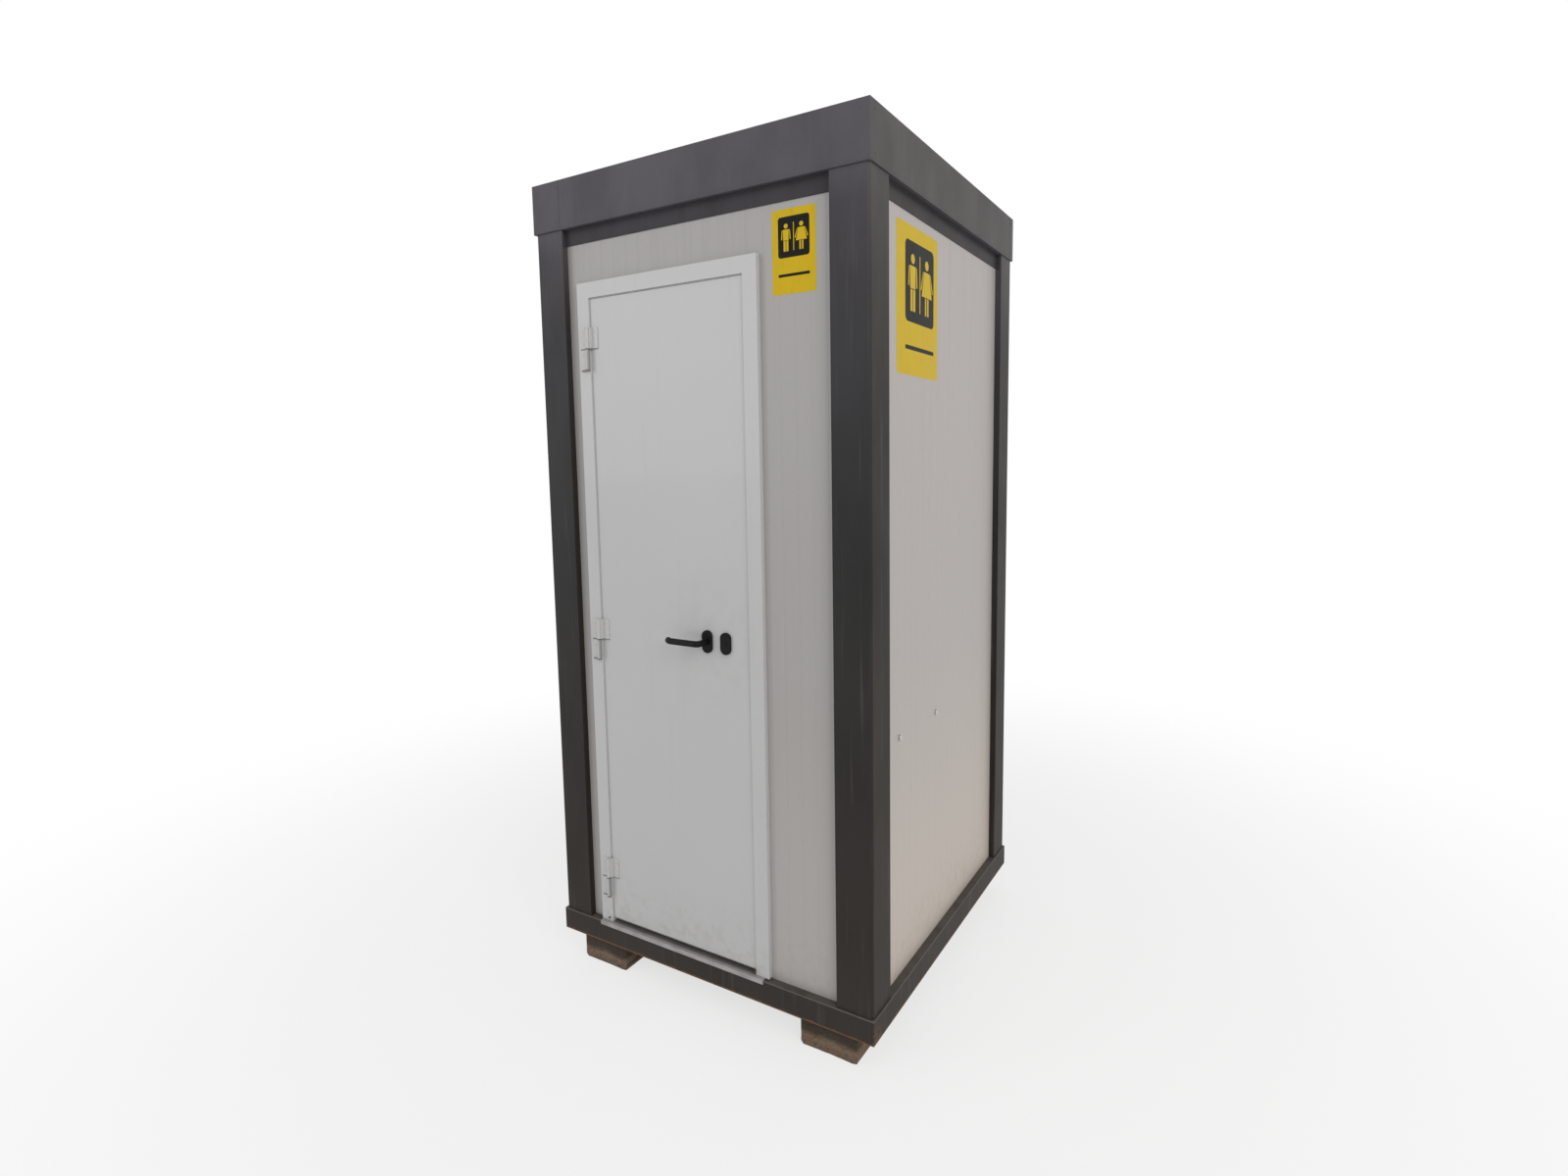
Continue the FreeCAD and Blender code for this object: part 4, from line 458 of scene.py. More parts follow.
# %% Sawn timber
def sawn_timber():
    """Weathered softwood whose grain runs along y, with a painted shadow of the base over its
    upper part.
    """
    wood = Finish("sawn_timber")
    bend = wood.clouds(0.30, stretch=(1, 5, 1)) * 0.030
    across = abs(wood.x) - 0.41 + bend
    deep = wood.z + 0.06 + bend
    ring = (across ** 2 + deep ** 2) ** 0.5
    grain = wood.wave(ring + wood.clouds(0.012, stretch=(1, 18, 1)) * 0.004, 0.0075)
    colour = wood.mix(grain, (0.190, 0.110, 0.062), (0.310, 0.200, 0.118))
    grey = wood.clouds(0.09, detail=5, stretch=(1, 4, 1)).rising(0.35, 0.70)
    colour = wood.mix(grey * 0.55, colour, (0.235, 0.205, 0.175))
    fibre = wood.clouds(0.0025, stretch=(1, 40, 1))
    colour = wood.multiply(fibre.rising(0.35, 0.8) * 0.5, colour, (0.55, 0.50, 0.46))
    crack = wood.clouds(0.020, detail=4, stretch=(1, 30, 1), shift=4)
    crack = 1 - abs(crack - 0.5).rising(0.0, 0.012)
    colour = wood.multiply(crack * 0.8, colour, (0.20, 0.17, 0.15))
    damp = 1 - wood.z.rising(0.004, 0.045)
    colour = wood.multiply(damp * 0.45, colour, (0.50, 0.46, 0.42))
    # Painted shadow: the base above darkens the bearer from a ragged line upwards.
    ragged = wood.clouds(0.05, detail=4, shift=9) * 0.03
    base_shadow = (wood.z - ragged).rising(0.014, 0.040)
    colour = wood.multiply(base_shadow * 0.95, colour, (0.14, 0.125, 0.115))
    saw = wood.wave(wood.y + wood.z * 0.35, 0.0065)
    relief = grain * 0.35 + fibre * 0.35 + saw * 0.12 - crack * 1.2
    return wood.surface(base_color=colour, roughness=fibre * 0.12 + 0.76,
                        normal=wood.raised(relief, 0.0016))


# %% [markdown]
# ## Bright metal
#
# Three bare metals are on the cabin: the bright steel of bolts, pins and lock, the threshold's
# grooved aluminium, and the zinc on the roof sheet. They differ in the marks on them. Steel is
# brushed and stained, aluminium has fine lines along its length, dirt, and painted shade between
# its treads, and zinc has large crystals with edges, dirt, and painted shade at the foot of each
# rib, so each has a function of its own.

# %% Brushed steel, grooved aluminium and zinc
def brushed_metal(name, base, dark, rough, stretch, stain):
    """Metal with fine lines one way and darker stains."""
    metal = Finish(name)
    lines = metal.clouds(0.0012, stretch=stretch)
    patches = metal.clouds(0.06, detail=5)
    colour = metal.mix(lines.rising(0.3, 0.8) * 0.45, base, dark)
    colour = metal.multiply(patches.rising(0.45, 0.75) * stain, colour, (0.48, 0.44, 0.40))
    spread = lines * 0.10 + rough + patches * 0.12
    return metal.surface(base_color=colour, metallic=0.85, roughness=spread,
                         normal=metal.raised(lines, 0.00012))


def grooved_metal_dirt_and_shade():
    """Grooved aluminium with dirt, and painted shade on its low top between the treads and under
    the door.
    """
    strip = Finish("trodden_aluminium")
    up = strip.axes(strip.facing)[2].rising(0.4, 0.8)
    lines = strip.clouds(0.0012, stretch=(30, 1, 1))
    dirt = strip.clouds(0.030, detail=6, stretch=(2, 1, 1)).rising(0.30, 0.68)
    # Painted shade: the low top behind the front edge, between the treads and under the door, is
    # darkened.
    deep = (1 - strip.z.rising(0.1908, 0.1914)) * up * strip.y.rising(-0.596, -0.584)
    colour = strip.mix(lines * 0.5, (0.46, 0.45, 0.44), (0.34, 0.33, 0.32))
    colour = strip.multiply(dirt * 0.45, colour, (0.52, 0.48, 0.43))
    colour = strip.multiply(deep * 0.80, colour, (0.22, 0.20, 0.18))
    return strip.surface(base_color=colour, metallic=0.25 - deep * 0.2,
                         roughness=lines * 0.1 + 0.40 + dirt * 0.2, specular_ior_level=0.3,
                         normal=strip.raised(lines, 0.0001))


def zinc():
    """Galvanised sheet with its crystals, dirt, and painted shade with dirt at the foot of each
    rib.
    """
    sheet = Finish("zinc_sheet")
    crystals = sheet.cells(0.013, output="Color")
    shade = sheet.axes(crystals)[0]
    colour = sheet.mix(shade, (0.40, 0.41, 0.42), (0.50, 0.51, 0.52))
    # Painted shade with dirt: a dark band at the foot of each rib.
    from_rib = sheet.node("Math", {"operation": "PINGPONG"}, {0: sheet.x, 1: 0.0675})
    foot = from_rib.within(0.023, 0.030, 0.006) * sheet.clouds(
        0.05, detail=5, stretch=(1, 4, 1)).rising(0.30, 0.60)
    dirt = sheet.clouds(0.20, detail=6, rough=0.65).rising(0.42, 0.72)
    dirt = (dirt * 0.45).at_least(foot * 0.85)
    colour = sheet.mix(dirt, colour, (0.150, 0.135, 0.115))
    leaves = sheet.clouds(0.03, detail=4, shift=6).rising(0.64, 0.74)
    colour = sheet.mix(leaves * 0.5, colour, (0.10, 0.085, 0.055))
    return sheet.surface(base_color=colour, metallic=0.6 - dirt * 0.5,
                         roughness=shade * 0.10 + 0.36 + dirt * 0.30,
                         normal=sheet.raised(shade * 0.3 + dirt * 0.2, 0.0003))


# %% [markdown]
# ## Glazed and moulded things
#
# Ceramic is white under a clear glaze: the colour hardly changes, but the glaze is slightly
# uneven and scale gathers near the water. The seat is moulded plastic with fine wear. The dull
# plastics have a spark-eroded grain, which is a relief of tiny cells.

# %% Glaze and plastics
def glaze():
    """White glazed ceramic with a little scale."""
    ware = Finish("ceramic_glaze")
    tone = ware.clouds(0.12)
    colour = ware.mix(tone, (0.78, 0.78, 0.76), (0.84, 0.84, 0.83))
    scale = ware.clouds(0.018, detail=6, rough=0.65).rising(0.56, 0.74)
    colour = ware.multiply(scale * 0.22, colour, (0.80, 0.74, 0.62))
    return ware.surface(base_color=colour, roughness=scale * 0.16 + 0.09, coat_weight=0.5,
                        normal=ware.raised(ware.clouds(0.03, detail=2), 0.0006))


def moulded(name, base, worn, rough, grain, haze=0.25, shine=0.5):
    """Plastic with a grain of this size and a haze of dust and wear."""
    plastic = Finish(name)
    dust = plastic.clouds(0.045, detail=5)
    colour = plastic.mix(dust.rising(0.38, 0.72) * haze, base, worn)
    scratches = plastic.clouds(0.006, stretch=(1, 9, 3), shift=8).rising(0.66, 0.76)
    colour = plastic.mix(scratches * haze * 0.6, colour, worn)
    texture = plastic.cells(grain)
    return plastic.surface(base_color=colour, roughness=dust * 0.14 + rough + scratches * 0.08,
                           specular_ior_level=shine,
                           normal=plastic.raised(texture, grain * 0.12))


# %% [markdown]
# ## The small finishes
#
# What is left is each its own little world: a phenolic floor board with the print of a wire
# mesh, card honeycomb at the door's edge, rubber, chrome, a mirror with a tired edge, quilted
# paper and frosted glass.

# %% Floor board, door filling and rubber
def mesh_floor():
    """Brown film-faced board with a pressed wire-mesh pattern."""
    board = Finish("mesh_floor")
    wander = board.clouds(0.10, detail=2) * 0.004
    one_way = board.wave(board.x + board.y * 0.6 + wander, 0.010)
    other_way = board.wave(board.x - board.y * 0.6 + wander, 0.010)
    ridge = one_way.at_least(other_way).rising(0.86, 0.97)
    worn = board.clouds(0.16, detail=5).rising(0.40, 0.72)
    colour = board.mix(ridge, (0.095, 0.060, 0.038), (0.150, 0.100, 0.066))
    colour = board.mix(worn * 0.5, colour, (0.240, 0.200, 0.160))
    grit = board.clouds(0.004).rising(0.60, 0.72)
    colour = board.mix(grit * 0.4, colour, (0.30, 0.26, 0.20))
    return board.surface(base_color=colour, roughness=worn * 0.25 + 0.42 - ridge * 0.08,
                         normal=board.raised(ridge * 0.8 + grit * 0.4, 0.0006))


def honeycomb_card():
    """Brown card comb that fills a door leaf, with painted shade in its open cells."""
    card = Finish("honeycomb_card")
    comb = card.cells(0.012, feature="DISTANCE_TO_EDGE")
    wall = 1 - comb.rising(0.04, 0.10)
    fibre = card.clouds(0.002)
    # Painted shade: the open cells are dark and only the card walls between them are light.
    colour = card.mix(wall, (0.20, 0.14, 0.085), (0.46, 0.34, 0.22))
    colour = card.multiply(fibre * 0.4, colour, (0.7, 0.66, 0.6))
    return card.surface(base_color=colour, roughness=fibre * 0.1 + 0.8,
                        normal=card.raised(wall, 0.001))


def rubber(name, base):
    """Dull rubber, greyed where dust clings."""
    seal = Finish(name)
    bloom = seal.clouds(0.02, detail=5)
    colour = seal.mix(bloom.rising(0.40, 0.75) * 0.35, base, [c * 0.65 for c in base])
    return seal.surface(base_color=colour, roughness=bloom * 0.15 + 0.66,
                        normal=seal.raised(seal.clouds(0.0015, detail=2), 0.0003))


# %% Chrome, mirror, paper and glass
def chrome():
    """Plated brass with water marks."""
    plate = Finish("chrome_plate")
    marks = plate.cells(0.014).rising(0.20, 0.34)
    film = plate.clouds(0.03, detail=4)
    colour = plate.mix((1 - marks) * 0.35, (0.78, 0.79, 0.80), (0.62, 0.61, 0.58))
    return plate.surface(base_color=colour, metallic=1.0,
                         roughness=film * 0.10 + 0.06 + (1 - marks) * 0.12,
                         normal=plate.raised(film, 0.0002))


def silvered_glass():
    """A mirror whose silver has darkened near its rim."""
    mirror = Finish("silvered_glass")
    middle_y, middle_z, half_wide, half_tall = -0.225, 1.416, 0.150, 0.200
    rim = (abs(mirror.y - middle_y) - half_wide).at_least(abs(mirror.z - middle_z) - half_tall)
    age = rim.rising(0.017, 0.026) * mirror.clouds(0.010, detail=5).rising(0.52, 0.66)
    colour = mirror.mix(age, (0.86, 0.89, 0.88), (0.20, 0.17, 0.14))
    smears = mirror.clouds(0.05, detail=4, stretch=(1, 1, 3)).rising(0.45, 0.8)
    return mirror.surface(base_color=colour, metallic=1.0 - age * 0.7,
                          roughness=smears * 0.07 + 0.02 + age * 0.5)


def quilted_paper():
    """Soft tissue with an embossed diamond quilt, painted darker in its hollows as shade."""
    paper = Finish("quilted_paper")
    off_x, off_z, radius = paper.x + 0.455, paper.z - 0.831, 0.055
    round_roll = paper.node("Math", {"operation": "ARCTAN2"}, {0: off_x, 1: off_z}) * radius
    one_way = paper.wave(round_roll + paper.y, 0.011)
    other_way = paper.wave(round_roll - paper.y, 0.011)
    quilt = one_way * other_way
    layers = paper.wave((off_x ** 2 + off_z ** 2) ** 0.5, 0.0012)
    end = abs(paper.axes(paper.facing)[1]).rising(0.5, 0.9)
    fibre = paper.clouds(0.0018)
    relief = quilt * (1 - end) + layers * end * 0.5 + fibre * 0.3
    # Painted shade: the colour follows the relief, darker in the quilt's hollows and between the
    # wound layers, with a little fibre tone.
    colour = paper.mix(relief, (0.66, 0.655, 0.645), (0.80, 0.795, 0.785))
    return paper.surface(base_color=colour, roughness=fibre * 0.08 + 0.86,
                         normal=paper.raised(relief, 0.0010))


def frosted_glass():
    """Pebbled privacy glass."""
    pane = Finish("frosted_glass")
    pebbles = pane.cells(0.0045)
    film = pane.clouds(0.06, detail=4)
    colour = pane.mix(film, (0.80, 0.86, 0.85), (0.90, 0.94, 0.93))
    return pane.surface(base_color=colour, roughness=film * 0.12 + 0.30,
                        transmission_weight=0.85, ior=1.5,
                        normal=pane.raised(pebbles, 0.0008))


# %% [markdown]
# Each material slot of the CAD record now gets its finish by name, so a part finds its finish
# through its slot and no part is painted one by one.

# %% The finish of each slot
finish_of = {
    "frame_grey": frame_paint(),
    "bearer_timber": sawn_timber(),
    "floor_ply": mesh_floor(),
    "threshold_metal": grooved_metal_dirt_and_shade(),
    "roof_metal": zinc(),
    "wall_sandwich": wall_coat(),
    "door_white": enamel("door_enamel", (0.545, 0.539, 0.538), (0.580, 0.576, 0.577), 0.0),
    "hinge_white": enamel("hinge_enamel", (0.545, 0.540, 0.536), (0.580, 0.576, 0.572), 0.35),
    "door_filling": honeycomb_card(),
    "seal_rubber": rubber("door_rubber", (0.600, 0.595, 0.580)),
    "bare_steel": brushed_metal("bright_steel", (0.56, 0.56, 0.55), (0.38, 0.37, 0.36),
                                0.30, (1, 1, 20), 0.5),
    "black_nylon": moulded("black_nylon", (0.006, 0.006, 0.007), (0.022, 0.021, 0.020),
                           0.34, 0.0009, haze=0.35, shine=0.12),
    "ceramic_white": glaze(),
    "seat_plastic": moulded("seat_plastic", (0.78, 0.78, 0.76), (0.66, 0.65, 0.62), 0.16,
                            0.0016),
    "chrome_metal": chrome(),
    "trap_plastic": moulded("trap_plastic", (0.72, 0.72, 0.71), (0.58, 0.56, 0.52), 0.36, 0.001),
    "mirror_glass": silvered_glass(),
    "paper_white": quilted_paper(),
    "window_plastic": moulded("window_plastic", (0.68, 0.68, 0.67), (0.54, 0.52, 0.48), 0.24,
                              0.0007),
    "frosted_glass": frosted_glass(),
    "light_plastic": moulded("light_plastic", (0.74, 0.74, 0.71), (0.64, 0.62, 0.56), 0.30,
                             0.0006),
    "inlet_blue": moulded("inlet_blue", (0.035, 0.125, 0.360), (0.085, 0.160, 0.320), 0.32,
                          0.0010, haze=0.5),
}
print(len(finish_of), "finishes")

# %% [markdown]
# ## Copying a CAD part and softening its edges
#
# No real edge is perfectly sharp: sheet has a bend, cast parts have a radius, timber is worn.
# An edge catches a thin line of light that the eye looks for. The bevel could be drawn by hand
# on each part. Here a function copies the CAD mesh, merges its loose triangles, joins flat
# areas and lets a Bevel modifier round every edge that turns sharply.

# %% Tools for pieces
def new_piece(name, mesh=None):
    """A piece in the scene with this mesh, or with an empty one."""
    piece = bpy.data.objects.new(name, mesh or bpy.data.meshes.new(name))
    bpy.context.scene.collection.objects.link(piece)
    return piece


def piece_from(work, name):
    """A piece from a finished bmesh, with its faces turned outwards."""
    bmesh.ops.recalc_face_normals(work, faces=work.faces)
    piece = new_piece(name)
    work.to_mesh(piece.data)
    work.free()
    return piece


def thickened(work, thick):
    """Gives a sheet in a bmesh this thickness in millimetres, and its faces a fixed order.

    Solidify leaves the faces in another order at each run.
    """
    bmesh.ops.solidify(work, geom=work.faces[:], thickness=thick * MM)
    by_place = sorted(work.faces, key=lambda face: tuple(face.calc_center_median()))
    rank = {face: i for i, face in enumerate(by_place)}
    work.faces.sort(key=lambda face: rank[face])


def worked_in(piece):
    """The piece with its modifiers worked into a plain mesh."""
    bpy.context.view_layer.update()
    depsgraph = bpy.context.evaluated_depsgraph_get()
    mesh = bpy.data.meshes.new_from_object(piece.evaluated_get(depsgraph),
                                           preserve_all_data_layers=True, depsgraph=depsgraph)
    piece.modifiers.clear()
    piece.data = mesh
    mesh.name = piece.name
    return piece


def smooth(piece, degrees=35):
    """Shades the piece smoothly but for edges that turn more than this."""
    piece.data.shade_smooth()
    piece.data.set_sharp_from_angle(angle=math.radians(degrees))
    return piece


def dress(piece, body, slot, *nodes):
    """Gives the piece its body and its slot's finish, and hides the CAD parts that it stands for.
    """
    piece.data.materials.clear()
    piece.data.materials.append(finish_of[slot])
    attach(piece, body)
    if nodes:
        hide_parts(*nodes)
    return piece


def merged(node, name):
    """A CAD part's mesh as a new piece, its triangles merged and its flat areas joined."""
    piece = new_piece(name)
    work = bmesh.new()
    work.from_mesh(frame["nodes"][node].data)
    bmesh.ops.remove_doubles(work, verts=work.verts, dist=0.02 * MM)
    bmesh.ops.dissolve_limit(work, angle_limit=math.radians(0.8), verts=work.verts,
                             edges=work.edges)
    work.to_mesh(piece.data)
    work.free()
    return piece


def softened(node, radius, segments=2, degrees=30):
    """A CAD part with its sharp edges rounded by a radius in millimetres."""
    piece = merged(node, "soft_" + node)
    bevel = piece.modifiers.new("edges", "BEVEL")
    bevel.width, bevel.segments = radius * MM, segments
    bevel.limit_method, bevel.angle_limit = "ANGLE", math.radians(degrees)
    bevel.use_clamp_overlap = True
    smooth(piece, 60)
    even = piece.modifiers.new("even", "WEIGHTED_NORMAL")
    even.keep_sharp = True
    worked_in(piece)
    return dress(piece, body_of[node], slot_of[node], node)


# %% [markdown]
# The table below gives each part the radius of its real edge in millimetres: under one for
# sheet and small hardware, two or three for mouldings, four and more for ceramic and timber.

# %% Soften the parts
EDGE_RADIUS = {
    "base_frame": 0.8, "post_front_left": 0.6, "post_front_right": 0.6, "post_rear_left": 0.6,
    "post_rear_right": 0.6, "roof_frame": 0.8, "floor_board": 0.8, "threshold": 0.6,
    "ceiling_panel": 0.6, "left_wall": 0.8, "right_wall": 0.8, "rear_wall": 0.8,
    "front_panel_left": 0.8, "door_frame": 0.7, "door_outer_skin": 0.8, "door_inner_skin": 0.3,
    "strike_plate": 0.3, "lock_case": 0.4, "latch_bolt": 1.0, "dead_bolt": 1.0,
    "basin_bolts": 0.6, "rosettes": 1.2, "escutcheons": 1.2, "thumbturn": 1.0,
    "cistern": 9, "wc_seat": 5, "wc_lid": 4, "seat_hinge_pin": 0.8,
    "flush_button": 1.5, "tap_body": 1.5, "tap_lever": 1.2, "roll_holder": 0.8,
    "basin_trap": 0.8, "mirror": 0.8, "toilet_roll": 1.5, "window_frame": 1.8,
    "window_sash": 2.2, "window_handle": 1.5, "light_fitting": 1.5, "light_diffuser": 1.0,
    "light_switch": 3.0, "switch_rocker": 1.2, "power_inlet": 1.5, "inlet_lid": 1.5,
    "hinge_frame_plates": 0.4, "hinge_door_plates": 0.4, "hinge_pins": 0.3, "spindle": 0.3,
    "window_glass": 0.3, "outer_lever": 0.8, "inner_lever": 0.8, "wc_pan": 5, "wash_basin": 4,
}
for node, radius in EDGE_RADIUS.items():
    segments = 4 if radius >= 4 else 3 if radius >= 2 else 2
    softened(node, radius, segments)
print(len(EDGE_RADIUS), "parts softened")


# %% [markdown]
# ## Yellow signs
#
# Two yellow film signs stick on the walls: a small one beside the door and a large one on the
# right side. Film is a fraction of a millimetre thick, yet its edge shows, so each sign is a
# thin body and not a picture. Both carry the plain sign of a toilet: two standing figures on a
# black plate, and a line under it. A figure is a few outlines: a round head, and a body, arms
# and legs drawn point by point.

# %% Outlines in sign units
def round_outline(across, up, radius, count=28):
    """Points round a circle."""
    return [(across + radius * math.cos(2 * math.pi * i / count),
             up + radius * math.sin(2 * math.pi * i / count)) for i in range(count)]


def plate_outline(low, high, radius, count=8):
    """Points round a rectangle with round corners."""
    (left, bottom), (right, top) = low, high
    points = []
    for quarter, (across, up) in enumerate(((right - radius, top - radius),
                                            (left + radius, top - radius),
                                            (left + radius, bottom + radius),
                                            (right - radius, bottom + radius))):
        for i in range(count + 1):
            angle = math.pi / 2 * (quarter + i / count)
            points.append((across + radius * math.cos(angle), up + radius * math.sin(angle)))
    return points


def figure_outlines(across, foot, tall, skirt):
    """A standing figure of plain shapes: a head, a body, two arms and two legs."""
    body = [(0.125, 0.775), (0.235, 0.330)] if skirt else [(0.125, 0.775), (0.115, 0.390)]
    leg, arm_out = (0.020, 0.085, 0.330) if skirt else (0.012, 0.105, 0.390), 0.030
    hand = (0.290, 0.440) if skirt else (0.205, 0.430)
    shapes = [round_outline(across, foot + tall * 0.895, tall * 0.085),
              [(across - body[0][0] * tall, foot + body[0][1] * tall),
               (across - body[1][0] * tall, foot + body[1][1] * tall),
               (across + body[1][0] * tall, foot + body[1][1] * tall),
               (across + body[0][0] * tall, foot + body[0][1] * tall)]]
    for side in (-1, 1):
        limb = [(leg[0], 0.0), (leg[1], 0.0), (leg[1], leg[2] - 0.015), (leg[0], leg[2] - 0.015)]
        arm = [(0.140, 0.775), (0.175, 0.750), (hand[0], hand[1]),
               (hand[0] - arm_out - 0.012, hand[1] - 0.012)]
        for points in (limb, arm):
            shapes.append([(across + side * a * tall, foot + u * tall) for a, u in points])
    return shapes


print(len(figure_outlines(0, 0, 1, True)), "shapes in a figure")


# %% [markdown]
# An outline becomes a thin body when its face is lifted off the wall and a rim is drawn down to
# the wall. The wall's own directions turn sign units into places: across runs to the right as
# one looks at the wall, and up runs up.

# %% Build the signs
FILM = 0.30 * MM
INK = 0.12 * MM


def yellow_film():
    """Yellow vinyl, a little faded and dusty."""
    film = Finish("yellow_film")
    fade = film.clouds(0.07, detail=4)
    colour = film.mix(fade, (0.660, 0.440, 0.004), (0.720, 0.510, 0.010))
    dirt = film.clouds(0.012, detail=5, stretch=(1, 1, 5), shift=3).rising(0.52, 0.74)
    colour = film.multiply(dirt * 0.20, colour, (0.62, 0.58, 0.50))
    return film.surface(base_color=colour, roughness=fade * 0.12 + 0.34, specular_ior_level=0.15,
                        normal=film.raised(fade, 0.0004))


def black_ink():
    """Printed black, greyed where it has rubbed."""
    ink = Finish("black_ink")
    rub = ink.clouds(0.010, detail=5, stretch=(1, 1, 4)).rising(0.50, 0.78)
    colour = ink.mix(rub * 0.6, (0.006, 0.006, 0.006), (0.026, 0.023, 0.015))
    return ink.surface(base_color=colour, roughness=rub * 0.2 + 0.38, specular_ior_level=0.1,
                       normal=ink.raised(rub, 0.0001))


def thin_body(name, outlines, origin, across, out, start, thick):
    """Thin flat bodies on a wall, from outlines in metres round a point of the wall."""
    work = bmesh.new()
    for outline in outlines:
        rings = [[work.verts.new(origin + across * a + Vector((0, 0, u)) + out * lift)
                  for a, u in outline] for lift in (start, start + thick)]
        work.faces.new(rings[1])
        work.faces.new(list(reversed(rings[0])))
        for i in range(len(outline)):
            j = (i + 1) % len(outline)
            work.faces.new((rings[0][i], rings[0][j], rings[1][j], rings[1][i]))
    bmesh.ops.triangulate(work, faces=[f for f in work.faces if len(f.verts) > 4])
    return piece_from(work, name)


def sign(name, origin, across, out, size, plate, margin=0.075):
    """One sign: the film, a black plate printed on it, and the figures on the plate."""
    origin, across, out, (wide, tall) = Vector(origin), Vector(across), Vector(out), size
    left, low, right, high = plate
    foot, top, middle = tall * (low + margin), tall * (high - margin), wide * (left + right) / 2
    reach = wide * (right - left) * 0.245
    film = thin_body(name + "_film", [plate_outline((0, 0), size, wide * 0.035)],
                     origin, across, out, 0.02 * MM, FILM)
    dark = [plate_outline((wide * left, tall * low), (wide * right, tall * high), wide * 0.06),
            plate_outline((wide * left, tall * low * 0.48), (wide * right, tall * low * 0.56),
                          wide * 0.012)]
    print_on = thin_body(name + "_print", dark, origin, across, out, FILM, INK)
    figures = (figure_outlines(middle - reach, foot, top - foot, skirt=False)
               + figure_outlines(middle + reach, foot, top - foot, skirt=True))
    figures.append(plate_outline((middle - wide * 0.009, foot), (middle + wide * 0.009, top),
                                 wide * 0.008))
    shapes = thin_body(name + "_figures", figures, origin, across, out, FILM + INK, INK)
    for piece, material in ((film, yellow), (print_on, black), (shapes, yellow)):
        piece.data.materials.append(material)
        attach(piece, "cabin")
    print(name, round(wide / MM), "by", round(tall / MM), "mm")


yellow, black = yellow_film(), black_ink()
sign("front_sign", (0.292, -0.573, 2.162), (1, 0, 0), (0, -1, 0), (0.136, 0.221),
     (0.14, 0.43, 0.86, 0.91))
sign("side_sign", (0.573, -0.387, 1.957), (0, 1, 0), (1, 0, 0), (0.301, 0.416),
     (0.20, 0.36, 0.90, 0.90))

# %% [markdown]
# ## Corner covers on the roof edge
#
# The deep edge of the roof is closed at the corners by folded cover plates. Their upright ends
# are the faint seams on the fascia. A cover is the thinnest of things, under a millimetre, so
# it is made here as a folded strip: a line of points in plan, thickened outwards, drawn up.

# %% Corner covers
COVER_THICK = 0.7 * MM
FASCIA_LOW, FASCIA_HIGH, FASCIA_FACE = 2.4515, 2.5985, 0.600


def folded_strip(name, plan, low, high, thick):
    """An upright sheet whose inside follows a line in plan, with its thickness outwards."""
    work = bmesh.new()
    walls = []
    for side in (0.0, thick):
        line = []
        for i, point in enumerate(plan):
            before, after = plan[max(i - 1, 0)], plan[min(i + 1, len(plan) - 1)]
            way = (Vector(after) - Vector(before)).normalized()
            spot = Vector(point) + Vector((way.y, -way.x)) * side
            line.append([work.verts.new((*spot, z)) for z in (low, high)])
        walls.append(line)
    inner, outer = walls
    for i in range(len(plan) - 1):
        for line in walls:
            work.faces.new((line[i][0], line[i + 1][0], line[i + 1][1], line[i][1]))
        for k in (0, 1):
            work.faces.new((inner[i][k], inner[i + 1][k], outer[i + 1][k], outer[i][k]))
    for i in (0, len(plan) - 1):
        work.faces.new((inner[i][0], outer[i][0], outer[i][1], inner[i][1]))
    return smooth(piece_from(work, name))


def corner_plan(side_x, side_y, leg_x, leg_y, bend=2.5 * MM, steps=5):
    """The line of a corner cover in plan, from its end on one face to its end on the other."""
    x, y = side_x * FASCIA_FACE, side_y * FASCIA_FACE
    points = [(x - side_x * leg_x, y)]
    for i in range(steps + 1):
        turn = math.pi / 2 * i / steps
        points.append((x - side_x * bend * (1 - math.sin(turn)),
                       y - side_y * bend * (1 - math.cos(turn))))
    points.append((x, y - side_y * leg_y))
    return points if side_x * side_y < 0 else points[::-1]


for name, side_x, side_y, leg_x in (("front_left", -1, -1, 0.117), ("front_right", 1, -1, 0.040),
                                    ("rear_right", 1, 1, 0.117), ("rear_left", -1, 1, 0.040)):
    plan = corner_plan(side_x, side_y, leg_x, 0.040)
    cover = folded_strip("corner_cover_" + name, plan, FASCIA_LOW, FASCIA_HIGH, COVER_THICK)
    dress(cover, "cabin", "frame_grey")
print("4 corner covers", round(COVER_THICK / MM, 1), "mm thick")

# %% [markdown]
# ## Geometry Nodes for what repeats
#
# Screws, rivets, ribs and grooves are one shape set out many times. They could be copied in a
# loop, but a node tree keeps the rule and the shape apart: the same tree sets out all of them,
# and its inputs say how many, how far apart and how large. The class below is the twin of
# Finish: it adds nodes, and ends each tree by making the copies real and giving the material.

